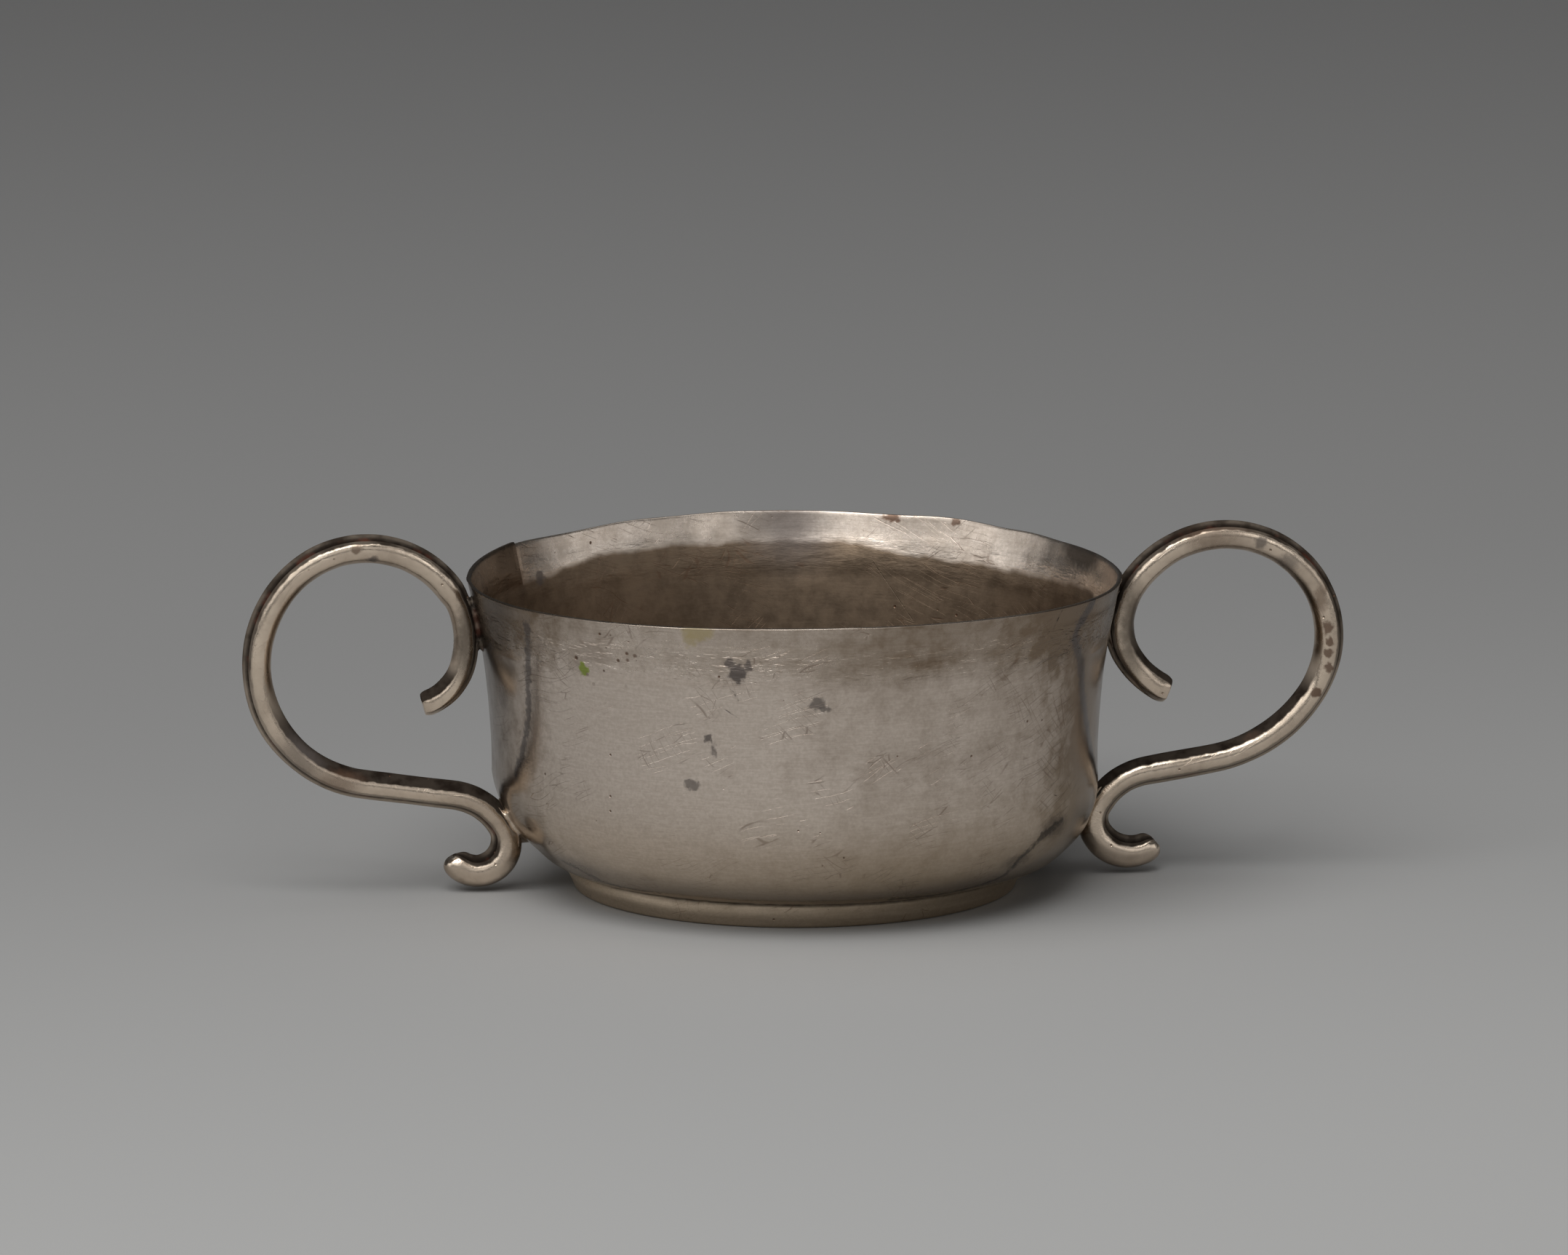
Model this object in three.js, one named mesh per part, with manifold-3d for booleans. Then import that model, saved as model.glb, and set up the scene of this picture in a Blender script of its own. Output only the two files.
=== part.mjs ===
// A small silver cup with two scrolled handles, in millimetres, +Z up.
// The origin is the centre of the base, on the surface the cup stands on.
// The handles lie in the XZ plane, the left one towards -X and the right one towards +X.
import * as THREE from 'three';
import { mergeVertices } from 'three/addons/utils/BufferGeometryUtils.js';
import Module from 'manifold-3d';

const wasm = await Module();
wasm.setup();

// Bowl, raised from one sheet of silver together with its low foot band
const RIM_RADIUS = 37;
const RIM_HEIGHT = 36;
const SHEET_THICKNESS = 0.65;
const BELLY_RADIUS = 34.3;
const BELLY_HEIGHT = 13.3;
const GROOVE_RADIUS = 25.6;
const GROOVE_HEIGHT = 2.7;
const FOOT_RADIUS = 25.9;
const FOOT_HEIGHT = 1.9;
const BASE_RADIUS = 24.7;

// Hand work: the rim sinks at the handles and rises front and back, and the belly sits off centre
const RIM_DIP = 0.44;
const BELLY_SHIFT = 0.8;

// Handle wire: rounded inside, nearly flat flanks, and on its outer face a reed that stands
// proud between two deep grooves. The wire swells on its way round the scroll.
const WIRE_THICKNESS = 3.3;
const WIRE_WIDTH = 3.2;
const INNER_ROUNDING = 0.65;
const REED_WIDTH = 1;
const REED_RISE = 0.45;
const GROOVE_WIDTH = 0.5;
const GROOVE_DEPTH = 0.45;
const REED_FADE_LENGTH = 7;
const TIP_ROUNDING = 0.5;
const SCROLL_SWELL = 1.15;

// Solder seams that hold the handles, each with a film between the wire and the bowl.
// The wire is filed to the curve of the wall and of the belly, so it seats deeper there.
const CLEARANCE = 0.15;
const SOLDER_FILM = 0.2;
const SEAT_GAP = SOLDER_FILM + 2 * CLEARANCE;
const UPPER_FILING = 0.6;
const LOWER_FILING = 0.9;
const UPPER_SEAM = { before: 5.4, after: 3, width: 4.1, depth: 2 };
const LOWER_SEAM = { before: 3.8, after: 3.4, width: 4.6, depth: 3 };

// Each handle as bends from its seats. A bend is [radius, turn in degrees].
// The hoop turns away from the bowl, the tip is the upper curl, and the scroll is the lower one.
const LEFT_HANDLE = {
  side: -1,
  seatDrop: 4.3,
  tip: [[10.8, 25], [6.4, 62]],
  hoop: [[9.3, 20.5], [11.8, 108], [13.9, 77], [14.3, 45]],
  throatRadius: 7.7,
  bellySeatAngle: 29.7,
  scroll: [[3.4, 54], [3.3, 127]],
};
const RIGHT_HANDLE = {
  side: 1,
  seatDrop: 5.5,
  tip: [[6.8, 40], [10.1, 36.5]],
  hoop: [[9.2, 23], [12.6, 95], [12, 86], [17, 47]],
  throatRadius: 7.8,
  bellySeatAngle: 27.9,
  scroll: [[3.2, 59], [4.4, 101]],
};

// Facet counts
const BOWL_SEGMENTS = 72;
const BELLY_STEPS = 6;
const WALL_STEPS = 5;
const EDGE_STEPS = 3;
const DEGREES_PER_STATION = 9;
const SEAM_SIDES = 10;
const SEAM_STEP = 0.9;

const silver = { color: 0x9a9189, roughness: 0.34, metalness: 1 };
const wireSilver = { color: 0xa39782, roughness: 0.3, metalness: 1 };
const solder = { color: 0x7f7468, roughness: 0.5, metalness: 1 };

const rad = THREE.MathUtils.degToRad;
const deg = THREE.MathUtils.radToDeg;

// An arc that ends upright at the end point, as the belly does where it meets the wall
function uprightArc(startRadius, startHeight, endRadius, endHeight) {
  const run = endRadius - startRadius;
  const rise = endHeight - startHeight;
  return (run * run + rise * rise) / (2 * run);
}

const BELLY_CURVE = uprightArc(GROOVE_RADIUS, GROOVE_HEIGHT, BELLY_RADIUS, BELLY_HEIGHT);
const WALL_TOP = RIM_HEIGHT - SHEET_THICKNESS / 2;
const WALL_CURVE = uprightArc(BELLY_RADIUS, BELLY_HEIGHT, RIM_RADIUS, WALL_TOP);
const BELLY_CENTRE = BELLY_RADIUS - BELLY_CURVE;
const WALL_CENTRE = BELLY_RADIUS + WALL_CURVE;
const BELLY_START = Math.atan2(BELLY_HEIGHT - GROOVE_HEIGHT, GROOVE_RADIUS - BELLY_CENTRE);
const WALL_LEAN = Math.asin((WALL_TOP - BELLY_HEIGHT) / WALL_CURVE);

// A point beside the belly, at an angle below the height where it turns upright
function besideBelly(angle, offset) {
  const radius = BELLY_CURVE + offset;
  return new THREE.Vector2(
    BELLY_CENTRE + radius * Math.cos(angle),
    BELLY_HEIGHT - radius * Math.sin(angle),
  );
}

// A point beside the wall, which leans out by the angle given
function besideWall(lean, offset) {
  const radius = WALL_CURVE - offset;
  return new THREE.Vector2(
    WALL_CENTRE - radius * Math.cos(lean),
    BELLY_HEIGHT + radius * Math.sin(lean),
  );
}

// Belly and wall from the groove to the rim, moved outwards by the offset
function sideOutline(offset) {
  const points = [];
  for (let i = 0; i <= BELLY_STEPS; i += 1) {
    points.push(besideBelly(BELLY_START * (1 - i / BELLY_STEPS), offset));
  }
  for (let i = 1; i <= WALL_STEPS; i += 1) {
    points.push(besideWall((WALL_LEAN * i) / WALL_STEPS, offset));
  }
  return points;
}

// The foot band from the flat base up to the groove, moved outwards by the offset
function footOutline(offset) {
  const base = new THREE.Vector2(BASE_RADIUS + offset, -offset);
  const foot = new THREE.Vector2(FOOT_RADIUS + offset, FOOT_HEIGHT);
  const corner = new THREE.Vector2(FOOT_RADIUS + offset, -offset);
  const curve = new THREE.QuadraticBezierCurve(base, base.clone().lerp(corner, 0.6), foot);
  return curve.getPoints(EDGE_STEPS);
}

// The rounded edge of the sheet at the rim, from outside to inside
function rimEdge() {
  const half = SHEET_THICKNESS / 2;
  const middle = besideWall(WALL_LEAN, -half);
  const points = [];
  for (let i = 1; i < EDGE_STEPS; i += 1) {
    const angle = -WALL_LEAN + (Math.PI * i) / EDGE_STEPS;
    points.push(new THREE.Vector2(
      middle.x + half * Math.cos(angle),
      middle.y + half * Math.sin(angle),
    ));
  }
  return points;
}

function smooth(value, low, high) {
  return THREE.MathUtils.smoothstep(value, low, high);
}

// How far the belly is pushed towards +X at a height, most in its lower half
function bellyShiftAt(height) {
  const share = (height - FOOT_HEIGHT) / (BELLY_HEIGHT - FOOT_HEIGHT);
  return BELLY_SHIFT * Math.sin(Math.PI * Math.sqrt(THREE.MathUtils.clamp(share, 0, 1)));
}

// Stand a lathe turned about Y upright, then give it the dip and the shift of hand work
function handRaise(geometry) {
  geometry.rotateX(Math.PI / 2);
  const position = geometry.getAttribute('position');
  for (let i = 0; i < position.count; i += 1) {
    const x = position.getX(i);
    const height = position.getZ(i);
    const turn = 2 * Math.atan2(position.getY(i), x);
    const dip = RIM_DIP * Math.cos(turn) * smooth(height, BELLY_HEIGHT, RIM_HEIGHT);
    position.setX(i, x + bellyShiftAt(height));
    position.setZ(i, height - dip);
  }
  return geometry;
}

// The bowl: one closed sheet, outside from the base to the rim and back down inside
function bowlGeometry() {
  const innerFoot = footOutline(-SHEET_THICKNESS).reverse();
  const outline = [
    new THREE.Vector2(0, 0),
    ...footOutline(0),
    ...sideOutline(0),
    ...rimEdge(),
    ...sideOutline(-SHEET_THICKNESS).reverse(),
    ...innerFoot,
    new THREE.Vector2(0, SHEET_THICKNESS),
  ];
  return handRaise(new THREE.LatheGeometry(outline, BOWL_SEGMENTS));
}

// The space of the bowl with a margin round it, which cuts whatever seats on the bowl
function bowlSpaceGeometry(margin) {
  const top = RIM_HEIGHT + 2 * WIRE_WIDTH;
  const side = sideOutline(margin);
  const outline = [
    new THREE.Vector2(0, -margin),
    ...footOutline(margin),
    ...side,
    new THREE.Vector2(side[side.length - 1].x, top),
    new THREE.Vector2(0, top),
  ];
  return handRaise(new THREE.LatheGeometry(outline, BOWL_SEGMENTS));
}

// Follow bends from a start. The heading is an angle in the handle's plane, turned by each bend.
function followBends(start, heading, bends) {
  const stations = [{ point: start.clone(), heading }];
  const point = start.clone();
  let direction = heading;
  for (const [radius, turn] of bends) {
    const steps = Math.max(2, Math.ceil(Math.abs(turn) / DEGREES_PER_STATION));
    const step = rad(turn) / steps;
    const chord = 2 * radius * Math.abs(Math.sin(step / 2));
    for (let i = 0; i < steps; i += 1) {
      const along = direction + step / 2;
      point.x += chord * Math.cos(along);
      point.y += chord * Math.sin(along);
      direction += step;
      stations.push({ point: point.clone(), heading: direction });
    }
  }
  return stations;
}

function turned(bends, sign) {
  return bends.map(([radius, turn]) => [radius, sign * turn]);
}

// Where the wire touches the wall below the rim, and its heading there
function wallSeat(handle, standOff) {
  const height = RIM_HEIGHT - RIM_DIP - handle.seatDrop;
  const lean = Math.asin((height - BELLY_HEIGHT) / WALL_CURVE);
  return { point: besideWall(lean, standOff), heading: Math.PI / 2 - lean };
}

// Where the wire touches the belly, and its heading there
function bellySeat(handle, standOff) {
  const angle = rad(handle.bellySeatAngle);
  const touch = besideBelly(angle, 0);
  const point = besideBelly(angle, standOff);
  point.x += handle.side * bellyShiftAt(touch.y);
  return { point, heading: -Math.PI / 2 - angle };
}

// Stretch the hoop and set the straight run so that the wire lands on the belly seat.
// Both act along known directions, so they come from two linear equations.
function closeHoop(handle, upper, lower) {
  const origin = new THREE.Vector2();
  const hoop = followBends(origin, upper.heading, turned(handle.hoop, -1));
  const end = hoop[hoop.length - 1];
  const throatTurn = deg(lower.heading - end.heading);
  const throat = followBends(origin, end.heading, [[handle.throatRadius, throatTurn]]);
  const throatEnd = throat[throat.length - 1].point;
  const need = lower.point.clone().sub(upper.point).sub(throatEnd);
  const run = new THREE.Vector2(Math.cos(end.heading), Math.sin(end.heading));
  const across = end.point.cross(run);
  return {
    stretch: need.cross(run) / across,
    runLength: end.point.cross(need) / across,
    run,
    hoop,
    throat,
  };
}

function lengthsAlong(stations) {
  const lengths = [0];
  for (let i = 1; i < stations.length; i += 1) {
    const step = stations[i].point.distanceTo(stations[i - 1].point);
    lengths.push(lengths[i - 1] + step);
  }
  return lengths;
}

// The centre line of a handle from the upper tip to the lower one, in the handle's own plane
function handlePath(handle) {
  const standOff = WIRE_THICKNESS / 2 + SEAT_GAP;
  const upper = wallSeat(handle, standOff - UPPER_FILING);
  const lower = bellySeat(handle, standOff - LOWER_FILING);
  const tip = followBends(upper.point, upper.heading + Math.PI, turned(handle.tip, 1))
    .map(({ point, heading }) => ({ point, heading: heading - Math.PI }))
    .reverse();
  const { stretch, runLength, run, hoop, throat } = closeHoop(handle, upper, lower);
  const place = (station, from, scale) => ({
    point: from.clone().addScaledVector(station.point, scale),
    heading: station.heading,
  });
  const hoopPlaced = hoop.slice(1).map((station) => place(station, upper.point, stretch));
  const runStart = hoopPlaced[hoopPlaced.length - 1].point;
  const runEnd = runStart.clone().addScaledVector(run, runLength);
  const throatPlaced = throat.map((station) => place(station, runEnd, 1));
  const scroll = followBends(lower.point, lower.heading, turned(handle.scroll, 1));
  const stations = [...tip, ...hoopPlaced, ...throatPlaced, ...scroll.slice(1)];
  const lengths = lengthsAlong(stations);
  return {
    stations,
    lengths,
    upperSeat: lengths[tip.length - 1],
    lowerSeat: lengths[stations.length - scroll.length],
  };
}

// Half of the wire's section from the middle of its inner face to the top of the reed.
// Each point is [outwards, across]. The relief goes from 0, plain, to 1, full reed and grooves.
function halfSection(relief) {
  const thick = WIRE_THICKNESS / 2;
  const wide = WIRE_WIDTH / 2;
  const reed = REED_WIDTH / 2;
  const grooveEnd = reed + GROOVE_WIDTH;
  const arris = INNER_ROUNDING - thick;
  const shoulder = thick - REED_RISE * relief;
  const grooveFloor = shoulder - GROOVE_DEPTH * relief;
  return [
    [-thick, 0],
    [-thick * 0.97, wide * 0.5],
    [-thick * 0.8, wide * 0.82],
    [arris, wide * 0.97],
    [(arris + shoulder) / 2, wide],
    [shoulder * 0.8, wide * 0.94],
    [shoulder, (grooveEnd + wide) / 2],
    [shoulder * 0.96, grooveEnd],
    [grooveFloor * 0.98, reed + GROOVE_WIDTH / 2],
    [shoulder * 0.97, reed],
    [thick * 0.96, reed * 0.6],
    [thick, 0],
  ];
}

function mirrored(half) {
  const otherHalf = half.slice(1, -1).reverse().map(([out, across]) => [out, -across]);
  return [...half, ...otherHalf];
}

// A closed solid through rings of equal length, each a list of THREE.Vector3
function loft(rings) {
  const count = rings[0].length;
  const points = rings.flat();
  const middle = (ring) => ring
    .reduce((sum, point) => sum.add(point), new THREE.Vector3())
    .divideScalar(count);
  points.push(middle(rings[0]), middle(rings[rings.length - 1]));
  const index = [];
  for (let r = 0; r + 1 < rings.length; r += 1) {
    for (let i = 0; i < count; i += 1) {
      const a = r * count + i;
      const b = r * count + ((i + 1) % count);
      index.push(a, b, a + count, b, b + count, a + count);
    }
  }
  const last = (rings.length - 1) * count;
  for (let i = 0; i < count; i += 1) {
    const next = (i + 1) % count;
    index.push(points.length - 2, next, i);
    index.push(points.length - 1, last + i, last + next);
  }
  const geometry = new THREE.BufferGeometry().setFromPoints(points);
  geometry.setIndex(index);
  return geometry;
}

// A section [outwards, across] set square to the centre line at a station
function placeSection(section, station, side) {
  const normal = new THREE.Vector2(-Math.sin(station.heading), Math.cos(station.heading));
  return section.map(([out, across]) => new THREE.Vector3(
    side * (station.point.x + normal.x * out),
    side * across,
    station.point.y + normal.y * out,
  ));
}

// The wire of a handle, or with growth the space that it needs in a solder seam
function wireGeometry(handle, path, growth) {
  const { stations, lengths } = path;
  const total = lengths[lengths.length - 1];
  const outGrowth = 1 + (2 * growth) / WIRE_THICKNESS;
  const acrossGrowth = 1 + (2 * growth) / WIRE_WIDTH;
  const swellAt = (length) => {
    const share = THREE.MathUtils.clamp(
      (length - path.lowerSeat) / (total - path.lowerSeat), 0, 1);
    return 1 + (SCROLL_SWELL - 1) * Math.sin(Math.PI * share);
  };
  const rings = stations.map((station, i) => {
    const toEnd = Math.min(lengths[i], total - lengths[i]);
    const relief = growth > 0 ? 0 : smooth(lengths[i], 0, REED_FADE_LENGTH);
    const blunt = (toEnd < TIP_ROUNDING / 2 ? 0.75 : 1) * swellAt(lengths[i]);
    const section = mirrored(halfSection(relief))
      .map(([out, across]) => [out * outGrowth * blunt, across * acrossGrowth * blunt]);
    return placeSection(section, station, handle.side);
  });
  return loft(rings);
}

// Add a station just inside each end, where the rounding of the blunt tips starts
function withTipStations(path) {
  const { stations, lengths } = path;
  const last = stations.length - 1;
  const near = (end, next, step) => ({
    point: stations[end].point.clone()
      .lerp(stations[next].point, TIP_ROUNDING / step),
    heading: stations[end].heading,
  });
  const first = near(0, 1, lengths[1]);
  const final = near(last, last - 1, lengths[last] - lengths[last - 1]);
  const all = [stations[0], first, ...stations.slice(1, last), final, stations[last]];
  return { ...path, stations: all, lengths: lengthsAlong(all) };
}

// A fillet of solder along the wire, thickest at the seat and thinning to both ends.
// The toBowl sign says on which face of the wire the bowl lies.
function seamGeometry(handle, path, seat, seam, toBowl) {
  const { stations, lengths } = path;
  const face = toBowl * (WIRE_THICKNESS / 2);
  const rings = [];
  for (let i = 0; i < stations.length; i += 1) {
    const offset = lengths[i] - seat;
    const reach = offset < 0 ? seam.before : seam.after;
    const share = Math.abs(offset) / reach;
    if (share < 1) {
      const swell = Math.sqrt(1 - share * share);
      const section = [];
      for (let k = 0; k < SEAM_SIDES; k += 1) {
        const angle = (-2 * Math.PI * k) / SEAM_SIDES;
        const out = face + (seam.depth / 2) * swell * Math.cos(angle);
        section.push([out, (seam.width / 2) * swell * Math.sin(angle)]);
      }
      rings.push(placeSection(section, stations[i], handle.side));
    }
  }
  return loft(rings);
}

// The same path with stations no further apart than the step, for the short seams
function finer(path, step) {
  const stations = [path.stations[0]];
  for (let i = 1; i < path.stations.length; i += 1) {
    const from = path.stations[i - 1];
    const to = path.stations[i];
    const parts = Math.ceil(from.point.distanceTo(to.point) / step);
    for (let k = 1; k <= parts; k += 1) {
      stations.push({
        point: from.point.clone().lerp(to.point, k / parts),
        heading: THREE.MathUtils.lerp(from.heading, to.heading, k / parts),
      });
    }
  }
  return { ...path, stations, lengths: lengthsAlong(stations) };
}

function toSolid(geometry) {
  const plain = geometry.clone();
  plain.deleteAttribute('normal');
  plain.deleteAttribute('uv');
  const merged = mergeVertices(plain, 1e-4);
  return new wasm.Manifold(new wasm.Mesh({
    numProp: 3,
    vertProperties: new Float32Array(merged.getAttribute('position').array),
    triVerts: new Uint32Array(merged.getIndex().array),
  }));
}

function toGeometry(solid) {
  const mesh = solid.getMesh();
  const geometry = new THREE.BufferGeometry();
  geometry.setAttribute('position', new THREE.BufferAttribute(mesh.vertProperties, 3));
  geometry.setIndex(new THREE.BufferAttribute(mesh.triVerts, 1));
  geometry.computeVertexNormals();
  return geometry;
}

function namedMesh(name, solid, finish) {
  const mesh = new THREE.Mesh(toGeometry(solid), new THREE.MeshStandardMaterial(finish));
  mesh.name = name;
  return mesh;
}

// One handle with its two solder seams. The wire is cut clear of the bowl and its film of
// solder, and each seam fills what is left between them.
function handleGroup(sideName, handle, bowlSpaces) {
  const path = handlePath(handle);
  const wire = toSolid(wireGeometry(handle, withTipStations(path), 0));
  const wireSpace = toSolid(wireGeometry(handle, path, CLEARANCE)).subtract(bowlSpaces.film);
  const fine = finer(path, SEAM_STEP);
  const seam = (seat, size, toBowl) => toSolid(seamGeometry(handle, fine, seat, size, toBowl))
    .subtract(wireSpace)
    .subtract(bowlSpaces.clearance);
  const group = new THREE.Group();
  group.add(
    namedMesh(`${sideName}_handle`, wire.subtract(bowlSpaces.seat), wireSilver),
    namedMesh(`${sideName}_upper_solder`, seam(path.upperSeat, UPPER_SEAM, 1), solder),
    namedMesh(`${sideName}_lower_solder`, seam(path.lowerSeat, LOWER_SEAM, -1), solder),
  );
  return group;
}

const bowlSpaces = {
  clearance: toSolid(bowlSpaceGeometry(CLEARANCE)),
  film: toSolid(bowlSpaceGeometry(CLEARANCE + SOLDER_FILM)),
  seat: toSolid(bowlSpaceGeometry(SEAT_GAP)),
};
const cup = new THREE.Group();
cup.add(namedMesh('bowl', toSolid(bowlGeometry()), silver));
cup.add(handleGroup('left', LEFT_HANDLE, bowlSpaces));
cup.add(handleGroup('right', RIGHT_HANDLE, bowlSpaces));

export default cup;
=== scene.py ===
# Looks of a small silver cup: a bowl raised by hand, two moulded handles and their solder.
# Sizes are metres in the frame of the solids. Patterns and marks are placed in millimetres.
import math
from functools import partial

import bmesh
import bpy
from mathutils import Matrix, Vector, noise


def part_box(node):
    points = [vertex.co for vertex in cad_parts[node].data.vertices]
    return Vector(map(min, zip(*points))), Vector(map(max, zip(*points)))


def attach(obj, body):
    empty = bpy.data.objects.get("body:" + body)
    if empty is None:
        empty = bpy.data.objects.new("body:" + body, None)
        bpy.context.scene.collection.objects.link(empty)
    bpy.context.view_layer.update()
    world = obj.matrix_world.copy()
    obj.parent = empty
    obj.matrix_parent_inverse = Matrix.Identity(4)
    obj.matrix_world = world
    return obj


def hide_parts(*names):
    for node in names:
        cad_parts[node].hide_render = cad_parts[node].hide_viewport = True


bl_info = {
    "name": "Two-handled silver cup",
    "version": (1, 0, 0),
    "blender": (4, 5, 0),
    "location": "View3D > Sidebar > Cup",
    "description": "Builds a hand-raised silver cup with two moulded wire handles",
    "category": "Object",
}

MM = 0.001

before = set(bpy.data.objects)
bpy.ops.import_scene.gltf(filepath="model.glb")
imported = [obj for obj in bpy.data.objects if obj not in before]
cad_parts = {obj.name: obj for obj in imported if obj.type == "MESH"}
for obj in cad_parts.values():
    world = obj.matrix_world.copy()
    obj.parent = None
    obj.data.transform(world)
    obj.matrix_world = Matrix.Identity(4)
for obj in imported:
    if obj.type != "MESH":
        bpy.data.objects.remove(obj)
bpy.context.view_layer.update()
BOWL_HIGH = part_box("bowl")[1]

# Each handle as bends from its seats, as (radius in mm, turn in degrees).
# The hoop turns away from the bowl, the tip is the upper curl, the scroll the lower one.
LEFT_HANDLE = {
    "side": -1,
    "seat_drop": 4.3,
    "tip": [(10.8, 25), (6.4, 62)],
    "hoop": [(9.3, 20.5), (11.8, 108), (13.9, 77), (14.3, 45)],
    "throat_radius": 7.7,
    "belly_seat_angle": 29.7,
    "scroll": [(3.4, 54), (3.3, 127)],
}
RIGHT_HANDLE = {
    "side": 1,
    "seat_drop": 5.5,
    "tip": [(6.8, 40), (10.1, 36.5)],
    "hoop": [(9.2, 23), (12.6, 95), (12, 86), (17, 47)],
    "throat_radius": 7.8,
    "belly_seat_angle": 27.9,
    "scroll": [(3.2, 59), (4.4, 101)],
}

# Rise of the hand-made rim, as (place round the rim in degrees, half width, rise in mm).
# Zero degrees is at the right handle and the front is at -90.
RIM_RISES = [(126, 17, -0.36), (106, 12, -0.15), (52, 13, 0.3), (34, 8, 0.12)]

# The lap in the rim behind the left handle ends in a step, and a fold runs down from it.
# Places are degrees round the rim, and depths are mm.
LAP_END = 143.8
LAP_START = 176
LAP_DEPTH = 0.28
LAP_RISE = 0.4
FOLD_BOTTOM = 141.0
FOLD_DEPTH = 2.9

# The sheet is hammered thinner towards the rim, from this height up
THIN_RIM = 0.22 * MM
THIN_FROM = 30 * MM

# The worn foot: a soft corner a share of the way out from the base, then a band of four rings.
# The lower two have heights of their own, and each draws in from the foot's full radius.
FOOT_CORNER = 0.3
FOOT_CORNER_HEIGHT = 0.12 * MM
FOOT_RING_HEIGHTS = (0.6 * MM, 1.2 * MM)
FOOT_DRAWN_IN = (0.64 * MM, 0.43 * MM, 0.32 * MM, 0.28 * MM)
UNDER_GROOVE = 0.3 * MM

# At both sides of the cup the foot swells out: how far, its rows in mm, and where it starts and is full
FOOT_SWELL = 0.5 * MM
FOOT_ROWS = (3.1, 2.3)
SWELL_FROM, SWELL_FULL = 17 * MM, 24 * MM

# Steps of the turned shape, and the distance at which its doubles are merged
BELLY_STEPS = 30
WALL_STEPS = 46
ROUND_STEPS = 312
WELD = 0.001 * MM

# Patterns on the side are laid out as if it were a drum of this radius in mm
DRUM = 35.0

# Hammer marks start above the foot. Their size is in mm, outside and inside, and they are deeper in
# two rows (middle and half width in mm). Depths are: all over, under the rim, and low on the outside.
MARKS_FROM, MARKS_FULL = 2.6 * MM, 4.5 * MM
OUTER_MARKS, INNER_MARKS = 3.3, 4.2
RIM_ROWS, LOW_ROWS = (31, 5), (9.5, 6.5)
OUTER_DEPTHS, INNER_DEPTHS = (0.0035, 0.004, 0.008), (0.004, 0.008)

# The sheet's slow waves: how close they are, how high in mm, and where their pattern starts
SLOW_WAVES = [(0.055, 0.22, (0, 0, 0)), (0.13, 0.07, (7, 3, 1))]

# The rim's own rises fade in from this height
RIM_BENT_FROM = 24 * MM


def length(name, description, default):
    """A length that shows in the panel in scene units."""
    return bpy.props.FloatProperty(
        name=name, description=description, default=default, min=0, unit="LENGTH", precision=5
    )


def colour(name, description, default):
    """A linear colour that shows as a swatch in the panel."""
    return bpy.props.FloatVectorProperty(
        name=name, description=description, default=default, min=0, max=1, subtype="COLOR"
    )


def number(name, description, default, **options):
    """A plain number that shows in the panel."""
    return bpy.props.FloatProperty(name=name, description=description, default=default, **options)


class BowlSizes(bpy.types.PropertyGroup):
    """Sizes of the raised bowl"""

    rim_radius: length("Rim radius", "Radius outside the rim", BOWL_HIGH.y)
    rim_height: length("Rim height", "Height of the rim before it was bent", 36 * MM)
    sheet: length("Sheet", "Thickness of the silver sheet", 0.65 * MM)
    belly_radius: length("Belly radius", "Radius where the side stands upright", 34.3 * MM)
    belly_height: length("Belly height", "Height where the side stands upright", 13.3 * MM)
    groove_radius: length("Groove radius", "Radius of the groove over the foot", 25.6 * MM)
    groove_height: length("Groove height", "Height of the groove over the foot", 2.7 * MM)
    foot_radius: length("Foot radius", "Radius of the foot band", 25.9 * MM)
    foot_height: length("Foot height", "Height of the foot band's widest ring", 1.9 * MM)
    base_radius: length("Base radius", "Radius of the flat base", 24.7 * MM)
    rim_dip: length("Rim dip", "How far the rim sinks at the handles", 0.44 * MM)
    belly_shift: length("Belly shift", "How far the belly sits off centre", 0.8 * MM)


class HandleSizes(bpy.types.PropertyGroup):
    """Sizes of the moulded wire and its solder"""

    thickness: length("Thickness", "Wire from its inner side to the top of the reed", 3.3 * MM)
    width: length("Width", "Wire across its flanks", 3.2 * MM)
    reed_width: length("Reed width", "Width of the reed along the outer side", 1 * MM)
    reed_rise: length("Reed rise", "How far the reed stands proud", 0.45 * MM)
    groove_width: length("Groove width", "Width of each groove beside the reed", 0.5 * MM)
    groove_depth: length("Groove depth", "Depth of each groove", 0.45 * MM)
    fade: length("Reed fade", "Length from the upper tip over which the reed rises", 7 * MM)
    swell: number("Scroll swell", "Growth of the wire in the scroll", 1.15, min=1)


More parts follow.
